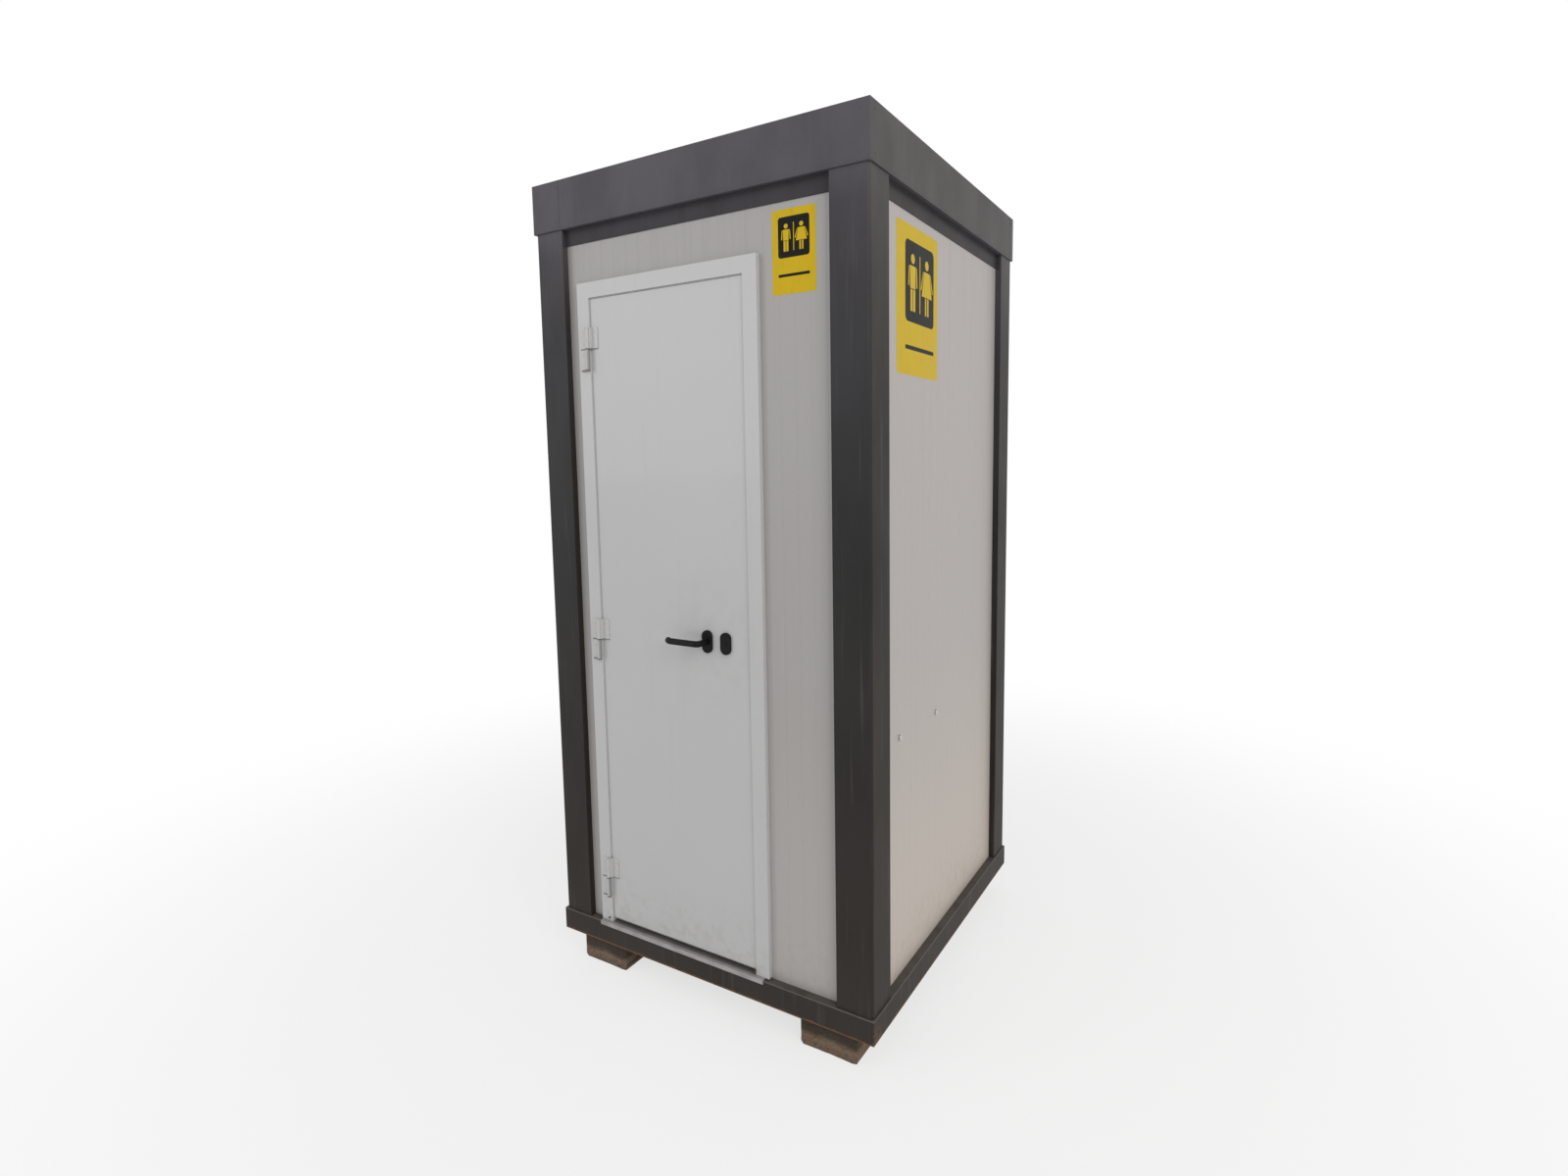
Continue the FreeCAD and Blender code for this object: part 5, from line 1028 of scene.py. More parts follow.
# %% A node tree that grows geometry
class Pattern:
    """One Geometry Nodes tree with named inputs."""

    def __init__(self, name, **inputs):
        self.tree = bpy.data.node_groups.new(name, "GeometryNodeTree")
        for title, kind in {"Geometry": "Geometry", **inputs, "Finish": "Material"}.items():
            self.tree.interface.new_socket(title, in_out="INPUT", socket_type="NodeSocket" + kind)
        self.tree.interface.new_socket("Geometry", in_out="OUTPUT",
                                       socket_type="NodeSocketGeometry")
        self.given = self.tree.nodes.new("NodeGroupInput").outputs

    def node(self, kind, settings=None, sockets=None, output=0):
        """Adds a node and gives back one of its outputs."""
        made = self.tree.nodes.new(kind)
        for name, value in (settings or {}).items():
            setattr(made, name, value)
        shown = {socket.name: socket for socket in made.inputs if socket.enabled}
        for name, value in (sockets or {}).items():
            if isinstance(value, bpy.types.NodeSocket):
                self.tree.links.new(value, shown[name])
            else:
                shown[name].default_value = value
        return [socket for socket in made.outputs if socket.enabled][output]

    def ends_with(self, geometry):
        """Makes the copies real, sets their material and closes the tree."""
        real = self.node("GeometryNodeRealizeInstances", sockets={"Geometry": geometry})
        done = self.node("GeometryNodeSetMaterial",
                         sockets={"Geometry": real, "Material": self.given["Finish"]})
        self.tree.links.new(done, self.tree.nodes.new("NodeGroupOutput").inputs[0])
        return self

    def grown(self, name, mesh, body, slot, **values):
        """A piece made of this mesh by the tree, with its inputs set by their identifiers."""
        piece = new_piece(name, mesh)
        modifier = piece.modifiers.new("pattern", "NODES")
        modifier.node_group = self.tree
        values["Finish"] = finish_of[slot]
        for item in self.tree.interface.items_tree:
            if item.in_out == "INPUT" and item.name in values:
                modifier[item.identifier] = values[item.name]
        return dress(worked_in(piece), body, slot)


# %% [markdown]
# ## Heads of screws, rivets and bolts
#
# A fitter sets the same screw into a row of holes, and each stops at its own turn. So one head
# is drawn on a lathe: rings of points from the wall to the top, where a ring may be round, or
# pulled in between four arms for a driver's cross, or six-sided for a spanner. The tree puts a
# head on every point, stands it along the point's "out" arrow and gives it a turn by chance.

# %% Lathe a head
CROSS_WAIST = 0.38


def turned_head(name, *rings, count=24):
    """A closed head from rings of radius, height and outline, which is round if not given."""
    work = bmesh.new()
    loops = []
    for ring in rings:
        radius, height, outline = (*ring, "round")[:3]
        loop = []
        for i in range(count):
            angle = 2 * math.pi * i / count
            reach = {"round": 1.0, "cross": 1.0 if i % 6 == 0 else CROSS_WAIST,
                     "hex": math.cos(math.pi / 6) / math.cos(angle % (math.pi / 3) - math.pi / 6),
                     }[outline] * radius * MM
            loop.append(work.verts.new((reach * math.cos(angle), reach * math.sin(angle),
                                        height * MM)))
        loops.append(loop)
    work.faces.new(loops[0][::-1])
    work.faces.new(loops[-1])
    for low, high in zip(loops, loops[1:]):
        for i in range(count):
            work.faces.new((low[i], low[i - 1], high[i - 1], high[i])[::-1])
    bmesh.ops.recalc_face_normals(work, faces=work.faces)
    head = bpy.data.objects.new(name, bpy.data.meshes.new(name))
    work.to_mesh(head.data)
    work.free()
    return smooth(head, 32)


PAN_SCREW = turned_head("pan_screw", (4.0, 0), (4.0, 0.7), (3.5, 1.7), (2.6, 2.3),
                        (1.9, 2.45, "cross"), (1.3, 1.2, "cross"))
FLAT_SCREW = turned_head("flat_screw", (3.4, -1.2), (4.2, -0.1), (4.2, 0.2), (3.8, 0.35),
                         (2.1, 0.35, "cross"), (1.4, -0.7, "cross"))
HEX_BOLT = turned_head("hex_bolt", (8, 0), (8, 1.2), (7.6, 1.5), (5.8, 1.5, "hex"),
                       (5.8, 5.0, "hex"), (5.0, 5.6))
BLIND_RIVET = turned_head("blind_rivet", (3.4, 0), (3.4, 0.3), (2.5, 1.0), (1.2, 1.2),
                          (0.9, 0.7))
ROUND_CAP = turned_head("round_cap", (8, 0), (8, 2.2), (7.0, 4.0), (4.2, 5.2), (1.2, 5.6))
print("five heads of", len(PAN_SCREW.data.polygons), "faces and fewer")

# %% The tree that sets heads on points
heads = Pattern("heads_on_points", Head="Object", Size="Float", Seed="Int")
arrow = heads.node("GeometryNodeInputNamedAttribute", {"data_type": "FLOAT_VECTOR"},
                   {"Name": "out"})
upright = heads.node("FunctionNodeAlignRotationToVector", {"axis": "Z"}, {"Vector": arrow})
chance = heads.node("FunctionNodeRandomValue", {"data_type": "FLOAT"},
                    {"Max": 2 * math.pi, "Seed": heads.given["Seed"]})
turn = heads.node("FunctionNodeAxisAngleToRotation", sockets={"Angle": chance})
turned = heads.node("FunctionNodeRotateRotation", {"rotation_space": "LOCAL"},
                    {"Rotation": upright, "Rotate By": turn})
shape = heads.node("GeometryNodeObjectInfo", sockets={"Object": heads.given["Head"]}, output=-1)
heads.ends_with(heads.node("GeometryNodeInstanceOnPoints", sockets={
    "Points": heads.given["Geometry"], "Instance": shape, "Rotation": turned,
    "Scale": heads.given["Size"]}))


def fasten(name, body, slot, head, spots, size=1.0, seed=1):
    """Sets heads on spots, each a place in millimetres and the direction that it faces."""
    points = bpy.data.meshes.new(name)
    points.from_pydata([[value * MM for value in place] for place, out in spots], [], [])
    arrows = points.attributes.new("out", "FLOAT_VECTOR", "POINT")
    for item, (place, out) in zip(arrows.data, spots):
        item.vector = out
    piece = heads.grown(name, points, body, slot, Head=head, Size=size, Seed=seed)
    print(name, len(spots))
    return smooth(piece, 32)


# %% [markdown]
# Now the rows of fasteners, part by part. Places are in millimetres, in the cabin's frame, and
# lie on the face of the part that they hold. Heads on a moving part ride on its body.

# %% Fasteners of the shell and the door
FRONT, BACK, LEFT, RIGHT, UP = (0, -1, 0), (0, 1, 0), (-1, 0, 0), (1, 0, 0), (0, 0, 1)

fasten("hinge_frame_screws", "cabin", "hinge_white", FLAT_SCREW,
       [((-408.5, -593, z + dz), FRONT) for z in HINGE_HEIGHTS for dz in (-52, -18, 18, 52)])
fasten("hinge_door_screws", "door", "hinge_white", FLAT_SCREW,
       [((-362.5, -587, z + dz), FRONT) for z in HINGE_HEIGHTS for dz in (14, 34, 54)], size=0.9)
fasten("threshold_screws", "cabin", "frame_grey", FLAT_SCREW,
       [((x, -594, 191), UP) for x in (-395, -245, -98, 50, 200)], seed=4)
fasten("strike_screws", "cabin", "bare_steel", FLAT_SCREW,
       [((200.0, -564, z), LEFT) for z in (1136, 1234)], size=0.8, seed=5)
fasten("corner_cover_rivets", "cabin", "frame_grey", BLIND_RIVET,
       [((sx * (600.7 if side else x), sy * (y if side else 600.7), z),
         (sx, 0, 0) if side else (0, sy, 0))
        for sx in (-1, 1) for sy in (-1, 1) for z in (2472, 2578)
        for side, x, y in ((False, 495 if sx * sy > 0 else 572, 0), (True, 0, 572))], seed=6)

RELEASE = turned_head("release", (6.9, -0.2), (6.9, 0.3), (6.1, 0.9), (3.6, 1.1, "cross"),
                      (2.7, -0.3, "cross"))
fasten("outside_release", "turn", "black_nylon", RELEASE, [((115.5, -593, 1185), FRONT)])

# %% Fasteners of the fittings
fasten("mirror_screws", "cabin", "chrome_metal", ROUND_CAP,
       [((519, y, z), LEFT) for y in (-385, -65) for z in (1206, 1626)], size=0.8)
fasten("roll_plate_screws", "cabin", "bare_steel", PAN_SCREW,
       [((-518, 155 + 17 * dy, 842.7 + 17 * dz), RIGHT) for dy, dz in ((0.5, 0.87), (-1, 0),
                                                                     (0.5, -0.87))],
       size=0.75, seed=8)
fasten("switch_screws", "cabin", "light_plastic", PAN_SCREW,
       [((315 + dx, -489, 1311), BACK) for dx in (-32, 32)], size=0.7, seed=9)
fasten("inlet_screws", "cabin", "bare_steel", PAN_SCREW,
       [((x, 623, z), BACK) for x in (-364, -296) for z in (2178, 2263)], size=0.6, seed=11)
fasten("light_screws", "cabin", "bare_steel", PAN_SCREW,
       [((92 * math.cos(a), 92 * math.sin(a), 2396), (0, 0, -1))
        for a in (0.5, 2.6, 4.7)], size=0.35, seed=12)

# %% [markdown]
# ## The roof sheet and the threshold
#
# Thin sheet on a roof drums and bends, so it is pressed with ribs that run the way the water
# goes. The threshold is an extruded strip with fine grooves that keep a shoe from slipping.
# Both are one long shape repeated at an even step, which is a second tree: it takes the first
# rib and sets it out along a line. Only the count and the step change between the two.

# %% The tree that repeats a shape in a row
row = Pattern("shape_in_a_row", Count="Int", Step="Vector")
line = row.node("GeometryNodeMeshLine", {"mode": "OFFSET"},
                {"Count": row.given["Count"], "Offset": row.given["Step"]})
row.ends_with(row.node("GeometryNodeInstanceOnPoints", sockets={
    "Points": line, "Instance": row.given["Geometry"]}))


def bar_mesh(name, profile, start, way, length, across, up):
    """A closed bar whose profile, in millimetres, is drawn along a straight way."""
    start, way, across, up = Vector(start) * MM, Vector(way), Vector(across), Vector(up)
    work = bmesh.new()
    ends = [[work.verts.new(start + across * a * MM + up * u * MM + way * run)
             for a, u in profile] for run in (0.0, length * MM)]
    work.faces.new(ends[0])
    work.faces.new(ends[1][::-1])
    for i in range(len(profile)):
        work.faces.new((ends[0][i - 1], ends[0][i], ends[1][i], ends[1][i - 1]))
    bmesh.ops.recalc_face_normals(work, faces=work.faces)
    mesh = bpy.data.meshes.new(name)
    work.to_mesh(mesh)
    work.free()
    return mesh


# %% Roof ribs and roof screws
ROOF_TOP, ROOF_REACH = 2597, 470
rib = bar_mesh("rib", [(-24, -0.3), (-20, 1.5), (-11, 10.5), (-8, 12), (8, 12), (11, 10.5),
                       (20, 1.5), (24, -0.3)],
               (-405, -ROOF_REACH, ROOF_TOP), (0, 1, 0), 2 * ROOF_REACH, (1, 0, 0), (0, 0, 1))
smooth(row.grown("roof_ribs", rib, "cabin", "roof_metal", Count=7, Step=(0.135, 0, 0)), 30)
rim = [(side * 474, step, ROOF_TOP) for side in (-1, 1) for step in range(-440, 441, 176)]
fasten("roof_screws", "cabin", "bare_steel", HEX_BOLT,
       [(place, UP) for place in rim] + [((y, x, z), UP) for x, y, z in rim
                                         if abs(abs(y) - 440) > 1], size=0.8, seed=13)

# %% Threshold grooves
tread = bar_mesh("tread", [(-1.2, -0.2), (-0.8, 0.5), (0.8, 0.5), (1.2, -0.2)],
                 (-424, -583, 191), (1, 0, 0), 653, (0, 1, 0), (0, 0, 1))
row.grown("threshold_treads", tread, "cabin", "threshold_metal", Count=9, Step=(0, 0.0045, 0))

# %% [markdown]
# ## Light inside
#
# The washroom has one round light under its ceiling. With the door open the studio lamps reach
# only the sill, so a small lamp stands in for the fitting's tube. Its light is kept to a cone,
# or it would burn out the window's frame, which is close to it.

# %% Lamp under the ceiling
LAMP_WATTS, LAMP_ACROSS, LAMP_CONE, LAMP_HEIGHT = 8.0, 0.17, 2.2, 2.345
glow = bpy.data.lights.new("cabin_light", "AREA")
glow.shape, glow.size, glow.energy, glow.spread = "DISK", LAMP_ACROSS, LAMP_WATTS, LAMP_CONE
glow_object = bpy.data.objects.new("cabin_light", glow)
glow_object.location = (0, 0, LAMP_HEIGHT)
bpy.context.scene.collection.objects.link(glow_object)
print("lamp", glow.energy, "W, facing down")

# %% [markdown]
# ## Finding a surface with a ray
#
# Small things must touch what carries them. Their places could be worked out from the CAD
# sizes, but on a curved part that takes a calculation for each. A ray is quicker: it flies
# from a point that is surely outside, along one direction, and reports where it hits the part
# and how the surface lies there.

# %% Ray onto a part
tree_of = {}


def hit_on(node, start, way):
    """The place in millimetres where a ray meets a CAD part, and the surface's direction."""
    if node not in tree_of:
        mesh = frame["nodes"][node].data
        tree_of[node] = BVHTree.FromPolygons([v.co for v in mesh.vertices],
                                             [p.vertices for p in mesh.polygons])
    place, out, _, _ = tree_of[node].ray_cast(Vector(start) * MM, Vector(way))
    if place is None:
        return None, None
    return tuple(place / MM), tuple(out if out.dot(Vector(way)) < 0 else -out)


BUMPER = turned_head("bumper", (9, -0.5), (9, 0.8), (8, 1.5), (1.2, 1.7))
fasten("seat_bumpers", "lid", "trap_plastic", BUMPER,
       [hit_on("wc_lid", (x, 100, z), (0, 1, 0)) for x in (-150, 150) for z in (760, 880)])
fasten("pan_floor_caps", "cabin", "trap_plastic", ROUND_CAP,
       [hit_on("wc_pan", (side * 300, y, 214), (-side, 0, 0)) for side in (-1, 1)
        for y in (130, 340)], size=1.1)
PLUG = turned_head("drain_plug", (15.6, -1), (15.6, 0.5), (14.2, 1.0), (13.2, 0.6), (13.0, 1.2),
                   (12.8, 3.0), (11.0, 4.2), (6.0, 4.9), (1.2, 5.1))
bowl_floor = hit_on("wash_basin", (318, -225, 1100), (0, 0, -1))[0][2]
fasten("basin_drain", "cabin", "chrome_metal", PLUG, [((342, -225, bowl_floor), UP)])
OVERFLOW = turned_head("overflow_ring", (11, -1), (11, 1.2), (10, 2.0), (8, 2.0), (7, 1.2),
                       (6.8, -0.6))
fasten("basin_overflow", "cabin", "chrome_metal", OVERFLOW,
       [hit_on("wash_basin", (330, -225, 945), (1, 0, 0))])

# %% [markdown]
# ## A cistern lid in rings
#
# The CAD lid is a plain slab with a well for the button. The real one is cast: its top swells
# slightly and every edge is round. It is lofted here from rings: each ring is the slab's
# outline, drawn in by some millimetres, and the last few are circles round the button.

# %% Loft a lid
LID_LOW, LID_HIGH, LID_CORNER, BUTTON_Y = (-0.189, 0.346), (0.189, 0.515), 18, 0.4325


def evened(points, count):
    """The same closed line with this many points at even steps."""
    ends = points[1:] + points[:1]
    lengths = [math.dist(a, b) for a, b in zip(points, ends)]
    step, evenly, walked, k = sum(lengths) / count, [], 0.0, 0
    for i in range(count):
        while walked + lengths[k] < i * step - 1e-9:
            walked += lengths[k]
            k += 1
        share = (i * step - walked) / lengths[k]
        evenly.append(tuple(a + (b - a) * share for a, b in zip(points[k], ends[k])))
    return evenly


def lofted(name, rings):
    """A closed body through rings of equal counts, each a list of places in metres."""
    work = bmesh.new()
    loops = [[work.verts.new(point) for point in ring] for ring in rings]
    work.faces.new(loops[0][::-1])
    work.faces.new(loops[-1])
    for low, high in zip(loops, loops[1:]):
        for i in range(len(low)):
            work.faces.new((low[i - 1], low[i], high[i], high[i - 1]))
    return piece_from(work, name)


def lid_ring(inset, height, around=None, count=192):
    """One ring of the lid: its outline drawn in by inset, or a circle of radius around."""
    low = [value + inset * MM for value in LID_LOW]
    high = [value - inset * MM for value in LID_HIGH]
    outline = evened(plate_outline(low, high, max(LID_CORNER - inset, 4) * MM), count)
    if around:
        turns = [math.atan2(y - BUTTON_Y, x) for x, y in outline]
        outline = [(around * MM * math.cos(t), BUTTON_Y + around * MM * math.sin(t))
                   for t in turns]
    return [(x, y, height * MM) for x, y in outline]


lid = lofted("cast_cistern_lid", [
    lid_ring(5, 921), lid_ring(1.5, 921), lid_ring(0, 923), lid_ring(0, 941), lid_ring(0.8, 943.5),
    lid_ring(2.6, 945.4), lid_ring(5.5, 946.4), lid_ring(16, 947.2), lid_ring(34, 948.2),
    lid_ring(0, 949, 32), lid_ring(0, 949, 27), lid_ring(0, 948.6, 25.6), lid_ring(0, 947, 24.9),
    lid_ring(0, 941.2, 24.8)])
dress(smooth(lid, 50), "cabin", "ceramic_white", "cistern_lid")
BEZEL = turned_head("button_bezel", (27.5, -0.5), (27.5, 0.6), (26.6, 1.4), (25.2, 1.2),
                    (24.8, 0.2), (24.7, -7.6))
fasten("button_ring", "cabin", "chrome_metal", BEZEL, [((0, 432.5, 949), UP)])

# %% [markdown]
# ## Strips that run round the room
#
# Washable walls need a rounded skirting at the floor, a trim in each corner and one under the
# ceiling. Each is one profile drawn along a line, with mitred corners. A curve with a bevel
# object would twist at the corners. Here the profile is set at each corner along the line that
# halves the angle, stretched so that the straight runs keep their width.

# %% Draw a profile along a line
def moulding(name, path, profile, origin, across, up, out, closed=False):
    """A strip along a flat path; profile points are (distance to the right, height)."""
    origin, across, up, out = (Vector(v) for v in (origin, across, up, out))
    work = bmesh.new()
    stations = []
    for i, point in enumerate(path):
        here = Vector(point)
        before = path[i - 1] if closed or i else None
        after = path[(i + 1) % len(path)] if closed or i < len(path) - 1 else None
        ways = [(here - Vector(before)).normalized()] if before else []
        ways += [(Vector(after) - here).normalized()] if after else []
        mean = sum(ways, Vector((0, 0))).normalized()
        right = Vector((mean.y, -mean.x)) / max(mean.dot(ways[0]), 0.3)
        spots = [(here + right * a, w) for a, w in profile]
        stations.append([work.verts.new((origin + across * s.x + up * s.y + out * w) * MM)
                         for s, w in spots])
    pairs = list(zip(stations, stations[1:])) + ([(stations[-1], stations[0])] if closed else [])
    for first, second in pairs:
        for i in range(len(profile)):
            work.faces.new((first[i - 1], first[i], second[i], second[i - 1]))
    if not closed:
        work.faces.new(stations[0])
        work.faces.new(stations[-1][::-1])
    return smooth(piece_from(work, name), 40)


FLAT = ((1, 0, 0), (0, 1, 0), (0, 0, 1))
ROOM = [(-523, -523), (-523, 523), (523, 523), (523, -523)]
cove = [(0, 0), (14, 0), (9, 2.5), (5, 8), (3, 18), (2.6, 56), (1.4, 58), (0, 58)]
skirting = moulding("skirting", [(-410, -523)] + ROOM + [(228, -523)], cove, (0, 0, 191), *FLAT)
dress(skirting, "cabin", "window_plastic")
cornice = moulding("ceiling_trim", ROOM, [(0, 0), (16, 0), (16, -1.6), (3, -4), (1.6, -18),
                                          (0, -18)], (0, 0, 2410), *FLAT, closed=True)
dress(cornice, "cabin", "window_plastic")
for i, (x, y) in enumerate(ROOM):
    sx, sy = (1 if x < 0 else -1), (1 if y < 0 else -1)
    line = [(x, y + sy * 20), (x, y), (x + sx * 20, y)]
    line = line if sx * sy < 0 else line[::-1]
    strip = folded_strip("corner_trim_%d" % i, [(a * MM, b * MM) for a, b in line],
                         0.2485, 2.393, 1.5 * MM)
    dress(strip, "cabin", "window_plastic")
print("strips round", round(2 * (1.046 + 1.046), 2), "m of wall")

# %% [markdown]
# ## Door edge and window seals
#
# With the door open its edge shows a steel faceplate with two openings, one for the latch and
# one for the dead bolt. It is cut here from a grid of lines: the cells at the openings are left
# out, and the rest gets a thickness. The window's pane sits in a black gasket on both faces.
# A pale lip on the frame narrows the gap at the leaf's top and hinge side, where the leaf leaves
# it without touching. At the lock side the leaf's back edge sweeps past, so no lip is there.

# %% Faceplate and gaskets
def pierced_plate(name, across, up, openings, place, thick):
    """A plate on a grid of lines in millimetres, without the cells named in openings."""
    work = bmesh.new()
    grid = [[work.verts.new(Vector(place(a, u)) * MM) for u in up] for a in across]
    for i in range(len(across) - 1):
        for j in range(len(up) - 1):
            if (i, j) not in openings:
                work.faces.new((grid[i][j], grid[i + 1][j], grid[i + 1][j + 1], grid[i][j + 1]))
    bmesh.ops.recalc_face_normals(work, faces=work.faces)
    thickened(work, thick)
    return piece_from(work, name)


plate = pierced_plate("lock_faceplate", (-573, -569.8, -558.2, -555),
                      (1098, 1154.7, 1175.3, 1194.7, 1215.3, 1272), {(1, 1), (1, 3)},
                      lambda a, u: (197.95, a, u), 0.8)
dress(plate, "door", "bare_steel")
fasten("faceplate_screws", "door", "bare_steel", FLAT_SCREW,
       [((198.1, -564, z), RIGHT) for z in (1108, 1262)], size=0.8, seed=21)
PANE = [(-143, 1968), (143, 1968), (143, 2154), (-143, 2154)]
for name, y, out in (("pane_gasket_inside", 505.2, -1), ("pane_gasket_outside", 510.2, 1)):
    gasket = moulding(name, PANE[::-1], [(-0.3, 0), (4.5, 0), (4.0, 2.2), (2.0, 3.4), (-0.3, 3.4)],
                      (0, y, 0), (1, 0, 0), (0, 0, 1), (0, out, 0), closed=True)
    dress(gasket, "sash", "black_nylon")
LIP_PLACE = -580
left_reveal = hit_on("door_frame", (-300, LIP_PLACE, 1400), (-1, 0, 0))[0][0]
top_reveal = hit_on("door_frame", (-100, LIP_PLACE, 1400), (0, 0, 1))[0][2]
right_reveal = hit_on("door_frame", (0, LIP_PLACE, 1400), (1, 0, 0))[0][0]
lip = moulding("gap_lip", [(left_reveal, 196), (left_reveal, top_reveal),
                           (right_reveal, top_reveal)],
               [(-0.3, 0), (2.6, 0), (2.6, 1.6), (1.8, 2.8), (-0.3, 3.2)],
               (0, LIP_PLACE + 0.5, 0), (1, 0, 0), (0, 0, 1), (0, -1, 0))
dress(lip, "cabin", "seal_rubber")
print("door opening", round(left_reveal, 1), "to", round(right_reveal, 1), "up to",
      round(top_reveal, 1))

# %% [markdown]
# ## Water and wiring
#
# Cold water comes up inside the walls and leaves them at two small valves, one under the basin
# and one beside the cistern. A chrome tube goes on from each. A tube is a curve with a round
# bevel: a smooth spline needs only the points where it changes direction. The wires run in a
# white plastic channel, a flat strip with a snapped-on cover, from the switch up the wall and
# over the ceiling to the light.

# %% Valves and tubes
VALVE = turned_head("angle_valve", (19, 0), (19, 2), (15, 5), (8, 6), (8, 16), (11, 17, "hex"),
                    (11, 26, "hex"), (7, 27), (7, 34), (13, 35), (14, 38), (14, 50), (12.5, 53),
                    (4, 54))
COLLAR = turned_head("collar", (9, 0), (9, 1), (9, 1.2, "hex"), (9, 11, "hex"), (6.5, 13))
fasten("angle_valves", "cabin", "chrome_metal", VALVE,
       [((523, -165, 640), LEFT), ((232, 523, 660), FRONT)], seed=3)


def tube(name, points, radius):
    """A smooth chrome tube through the neighbourhood of its points, in millimetres."""
    curve = bpy.data.curves.new(name, "CURVE")
    curve.dimensions, curve.bevel_depth, curve.bevel_resolution = "3D", radius * MM, 4
    curve.resolution_u, curve.use_fill_caps = 10, True
    spline = curve.splines.new("NURBS")
    spline.points.add(len(points) - 1)
    for item, point in zip(spline.points, points):
        item.co = (*(value * MM for value in point), 1)
    spline.order_u, spline.use_endpoint_u = 3, True
    piece = new_piece(name, curve)
    bpy.context.view_layer.update()
    mesh = bpy.data.meshes.new_from_object(
        piece.evaluated_get(bpy.context.evaluated_depsgraph_get()))
    bpy.data.objects.remove(piece)
    return dress(smooth(new_piece(name, mesh), 60), "cabin", "chrome_metal")


tube("basin_tube", [(501, -165, 645), (501, -165, 700), (501, -165, 760), (500, -200, 800),
                    (481, -224, 830), (481, -225, 880), (481, -225, 960)], 5)
tube("cistern_tube", [(232, 501, 665), (232, 501, 740), (232, 500, 820), (232, 460, 872),
                      (215, 440, 872), (180, 440, 872)], 5)
fasten("tube_collars", "cabin", "chrome_metal", COLLAR,
       [((501, -165, 648), UP), ((232, 501, 668), UP), ((185, 440, 872), RIGHT)], seed=5)

# %% Channels for the wires
CHANNEL = [(-8, 0), (-8, 5.2), (-7.4, 5.4), (-7.4, 5.8), (-8, 6.0), (-8, 9), (-6.8, 10.4),
           (6.8, 10.4), (8, 9), (8, 6.0), (7.4, 5.8), (7.4, 5.4), (8, 5.2), (8, 0)]
runs = [((315, -523, 1352), (0, 0, 1), 1042, (1, 0, 0), (0, 1, 0)),
        ((315, -508, 2410), (0, 1, 0), 516, (1, 0, 0), (0, 0, -1)),
        ((307, 0, 2410), (-1, 0, 0), 213, (0, 1, 0), (0, 0, -1))]
for i, (start, way, length, across, up) in enumerate(runs):
    channel = new_piece("wire_channel_%d" % i,
                        bar_mesh("channel", CHANNEL, start, way, length, across, up))
    dress(smooth(channel), "cabin", "light_plastic")
print("channel", sum(run[2] for run in runs), "mm long")

# %% [markdown]
# ## Mastic round the roof sheet
#
# Rain is kept out by a bead of pale mastic where the roof sheet meets the frame. A bead is
# pressed on by hand, so its width wanders. It is drawn along a line like the skirting, and its
# points are then moved a little by chance, the same way in every run.

# %% The roof's bead
BEAD = [(-1, -0.4), (9, -0.4), (7.5, 3.0), (4.5, 4.6), (1.5, 5.0), (-1, 5.0)]


def wandering(piece, reach, seed):
    """Moves a bead's points a little by chance, the same way in every run."""
    chance = random.Random(seed)
    for vertex in piece.data.vertices:
        vertex.co += Vector([chance.uniform(-reach, reach) * MM for _ in range(3)])
    return piece


def stepped(corners, step):
    """The same closed line with a point at every step, so that a bead can wander along it."""
    points = []
    for first, second in zip(corners, corners[1:] + corners[:1]):
        count = max(round(math.dist(first, second) / step), 1)
        points += [tuple(a + (b - a) * i / count for a, b in zip(first, second))
                   for i in range(count)]
    return points


roof_line = stepped([(-485, -485), (-485, 485), (485, 485), (485, -485)], 12)
bead = moulding("roof_bead", roof_line, BEAD, (0, 0, ROOF_TOP), *FLAT, closed=True)
dress(wandering(bead, 0.5, 3), "cabin", "seal_rubber")
print(len(bead.data.polygons), "faces in the roof's bead")

# %% [markdown]
# ## Worn bearers
#
# A bearer starts as a square beam, and years of being dragged about round its corners and dent
# its faces. The CAD beam is a clean block. It is lofted again here along its length from one
# outline with round corners, and at each station every point is pushed in a little by noise.
# Noise, unlike chance, changes slowly from point to point, so the dents are smooth.

# %% Loft the bearers
BROAD_DENTS, FINE_DENTS = (30, 7, 30), (90, 26, 90)


def bumps(place, pitch):
    """Smooth noise at a place in metres; the pitch says how quickly it changes each way."""
    return noise.noise(Vector([value * quick for value, quick in zip(place, pitch)]))


def worn_bearer(name, node, stations=46, around=44):
    """A beam through its CAD box whose faces are dented inwards by up to 2 mm."""
    low, high = (Vector(corner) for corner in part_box(node))
    outline = evened(plate_outline((low.x, low.z), (high.x, high.z), 9 * MM), around)
    middle = Vector(((low.x + high.x) / 2, (low.z + high.z) / 2))
    steps = [low.y, low.y + 3 * MM] + [low.y + (high.y - low.y) * (i + 0.5) / stations
                                       for i in range(stations)] + [high.y - 3 * MM, high.y]
    rings = []
    for y in steps:
        end = 4 * MM if y in (low.y, high.y) else 0.0
        ring = []
        for x, z in outline:
            dent = bumps((x, y, z), BROAD_DENTS) + 0.45
            dent += 0.6 * abs(bumps((x, y, z), FINE_DENTS))
            toward = (middle - Vector((x, z))).normalized()
            spot = Vector((x, z)) + toward * (max(dent, 0) * 1.6 * MM + end)
            ring.append((spot.x, y, spot.y))
        rings.append(ring)
    beam = smooth(lofted(name, rings), 50)
    print(name, len(beam.data.polygons), "faces")
    return dress(beam, "cabin", "bearer_timber", node)


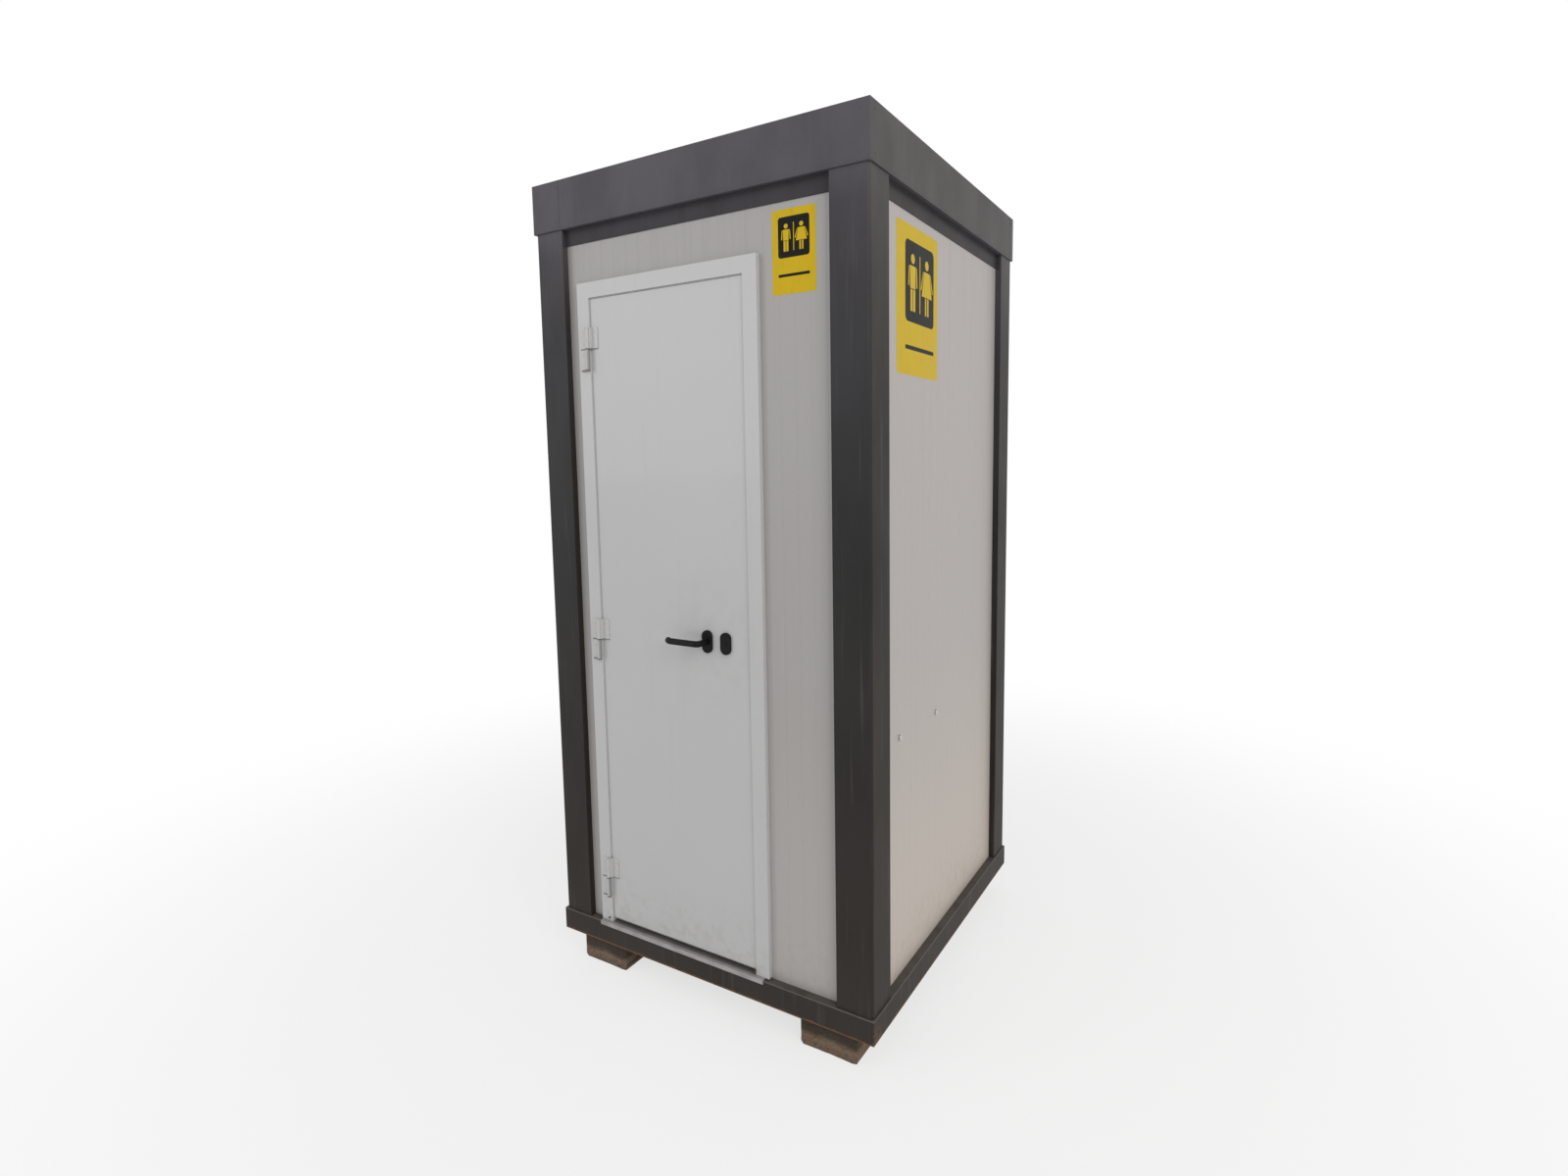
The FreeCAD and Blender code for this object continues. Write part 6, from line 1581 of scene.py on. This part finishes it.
worn_bearer("worn_bearer_left", "skid_left")
worn_bearer("worn_bearer_right", "skid_right")

# %% [markdown]
# ## The pan's side covers and its water
#
# A real pan is closed at its sides, but the CAD pan's hollow foot breaks through them. A cover
# closes each opening and follows the pan's own curve. That curve isn't known inside the opening,
# but all round it a ray can measure it. So rays are cast over a grid, and the missing heights
# are filled by letting each become the mean of its neighbours, again and again, as a soap film
# would. The water is found the same way: rays from the bowl's middle find its bank.

# %% Cover the openings
def soap_film(heights, rounds=500):
    """Fills the gaps in a table of heights with the mean of their neighbours."""
    gaps = [key for key, value in heights.items() if value is None]
    known = [value for value in heights.values() if value is not None]
    film = {key: sum(known) / len(known) if value is None else value
            for key, value in heights.items()}
    for _ in range(rounds):
        for i, j in gaps:
            near = [film[k] for k in ((i - 1, j), (i + 1, j), (i, j - 1), (i, j + 1)) if k in film]
            film[i, j] = sum(near) / len(near)
    return film, set(gaps)


def side_cover(name, side, low=(120, 196), high=(514, 330), step=5.0, inset=0.5, reach=2,
               thick=2.5):
    """A thin cover over the opening in one side of the pan's foot."""
    columns = round((high[0] - low[0]) / step)
    rows = round((high[1] - low[1]) / step)
    heights = {}
    for i in range(columns + 1):
        for j in range(rows + 1):
            place = hit_on("wc_pan", (side * 300, low[0] + i * step, low[1] + j * step),
                           (-side, 0, 0))[0]
            heights[i, j] = place[0] * side if place and place[0] * side > 40 else None
    film, gaps = soap_film(heights)
    wanted = {(i, j) for i, j in film if any((i + a, j + b) in gaps
                                             for a in range(-reach, reach + 1)
                                             for b in range(-reach, reach + 1))}
    work = bmesh.new()
    corner = {(i, j): work.verts.new(Vector(((film[i, j] - inset) * side, low[0] + i * step,
                                             low[1] + j * step)) * MM) for i, j in wanted}
    for i, j in wanted:
        cell = [(i, j), (i + 1, j), (i + 1, j + 1), (i, j + 1)]
        if all(key in corner for key in cell):
            work.faces.new([corner[key] for key in cell])
    loose = [v for v in work.verts if not v.link_faces]
    bmesh.ops.delete(work, geom=loose, context="VERTS")
    bmesh.ops.recalc_face_normals(work, faces=work.faces)
    if sum(f.normal.x * f.calc_area() for f in work.faces) * side < 0:
        bmesh.ops.reverse_faces(work, faces=work.faces)
    thickened(work, thick)
    piece = piece_from(work, name)
    print(name, len(gaps), "places filled")
    return dress(smooth(piece, 40), "cabin", "ceramic_white")


side_cover("pan_cover_left", -1)
side_cover("pan_cover_right", 1)

# %% Water in the bowl
def water():
    """Clear water."""
    clear = Finish("bowl_water")
    ripple = clear.clouds(0.05, detail=2)
    return clear.surface(base_color=clear.mix(ripple, (0.90, 0.95, 0.96), (0.96, 0.99, 1.0)),
                         roughness=ripple * 0.04 + 0.01, transmission_weight=1.0, ior=1.33,
                         normal=clear.raised(ripple, 0.0004))


WATER_DEPTH, BANK_POINTS = 42, 64
deepest, middle = min((hit_on("wc_pan", (0, y, 560), (0, 0, -1))[0][2], y)
                      for y in range(60, 260, 10))
level = deepest + WATER_DEPTH
bank = []
for across, along in round_outline(0, 0, 1, BANK_POINTS):
    place = hit_on("wc_pan", (0, middle, level), (across, along, 0))[0]
    bank.append((place[0] * MM, place[1] * MM))
bowl_water = lofted("bowl_water", [[(x, y, (level + lift) * MM) for x, y in bank]
                                   for lift in (-1.5, 0)])
bowl_water.data.materials.append(water())
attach(bowl_water, "cabin")
print("water at", round(level), "mm, bowl's floor at", round(deepest))

# %% [markdown]
# The mains inlet's three pins are bright metal. In the CAD they are one with the blue socket, so
# each gets a thin sleeve.

# %% Inlet pins
PIN = turned_head("inlet_pin", (3.15, 0), (3.15, 34.6), (2.9, 35.6), (2.0, 36.3))
fasten("inlet_pins", "cabin", "bare_steel", PIN,
       [((-330 + 12 * math.cos(math.radians(a)), 581, 2215 + 12 * math.sin(math.radians(a))),
         BACK) for a in (-90, 30, 150)])

# %% [markdown]
# ## Parts that stay as they are
#
# Flat sheets and fillings need no softened copy: their edges are cut or hidden. They keep the
# CAD mesh and only get the finish of their slot.

# %% Finish the parts that stay
for node, part in frame["nodes"].items():
    if not part.hide_render:
        part.data.materials.clear()
        part.data.materials.append(finish_of[slot_of[node]])
        print("kept as it is:", node)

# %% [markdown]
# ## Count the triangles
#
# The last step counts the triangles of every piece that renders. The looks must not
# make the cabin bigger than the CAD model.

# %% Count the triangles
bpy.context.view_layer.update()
triangles = sum(len(face.vertices) - 2 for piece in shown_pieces() for face in piece.data.polygons)
print(triangles, "triangles in all")
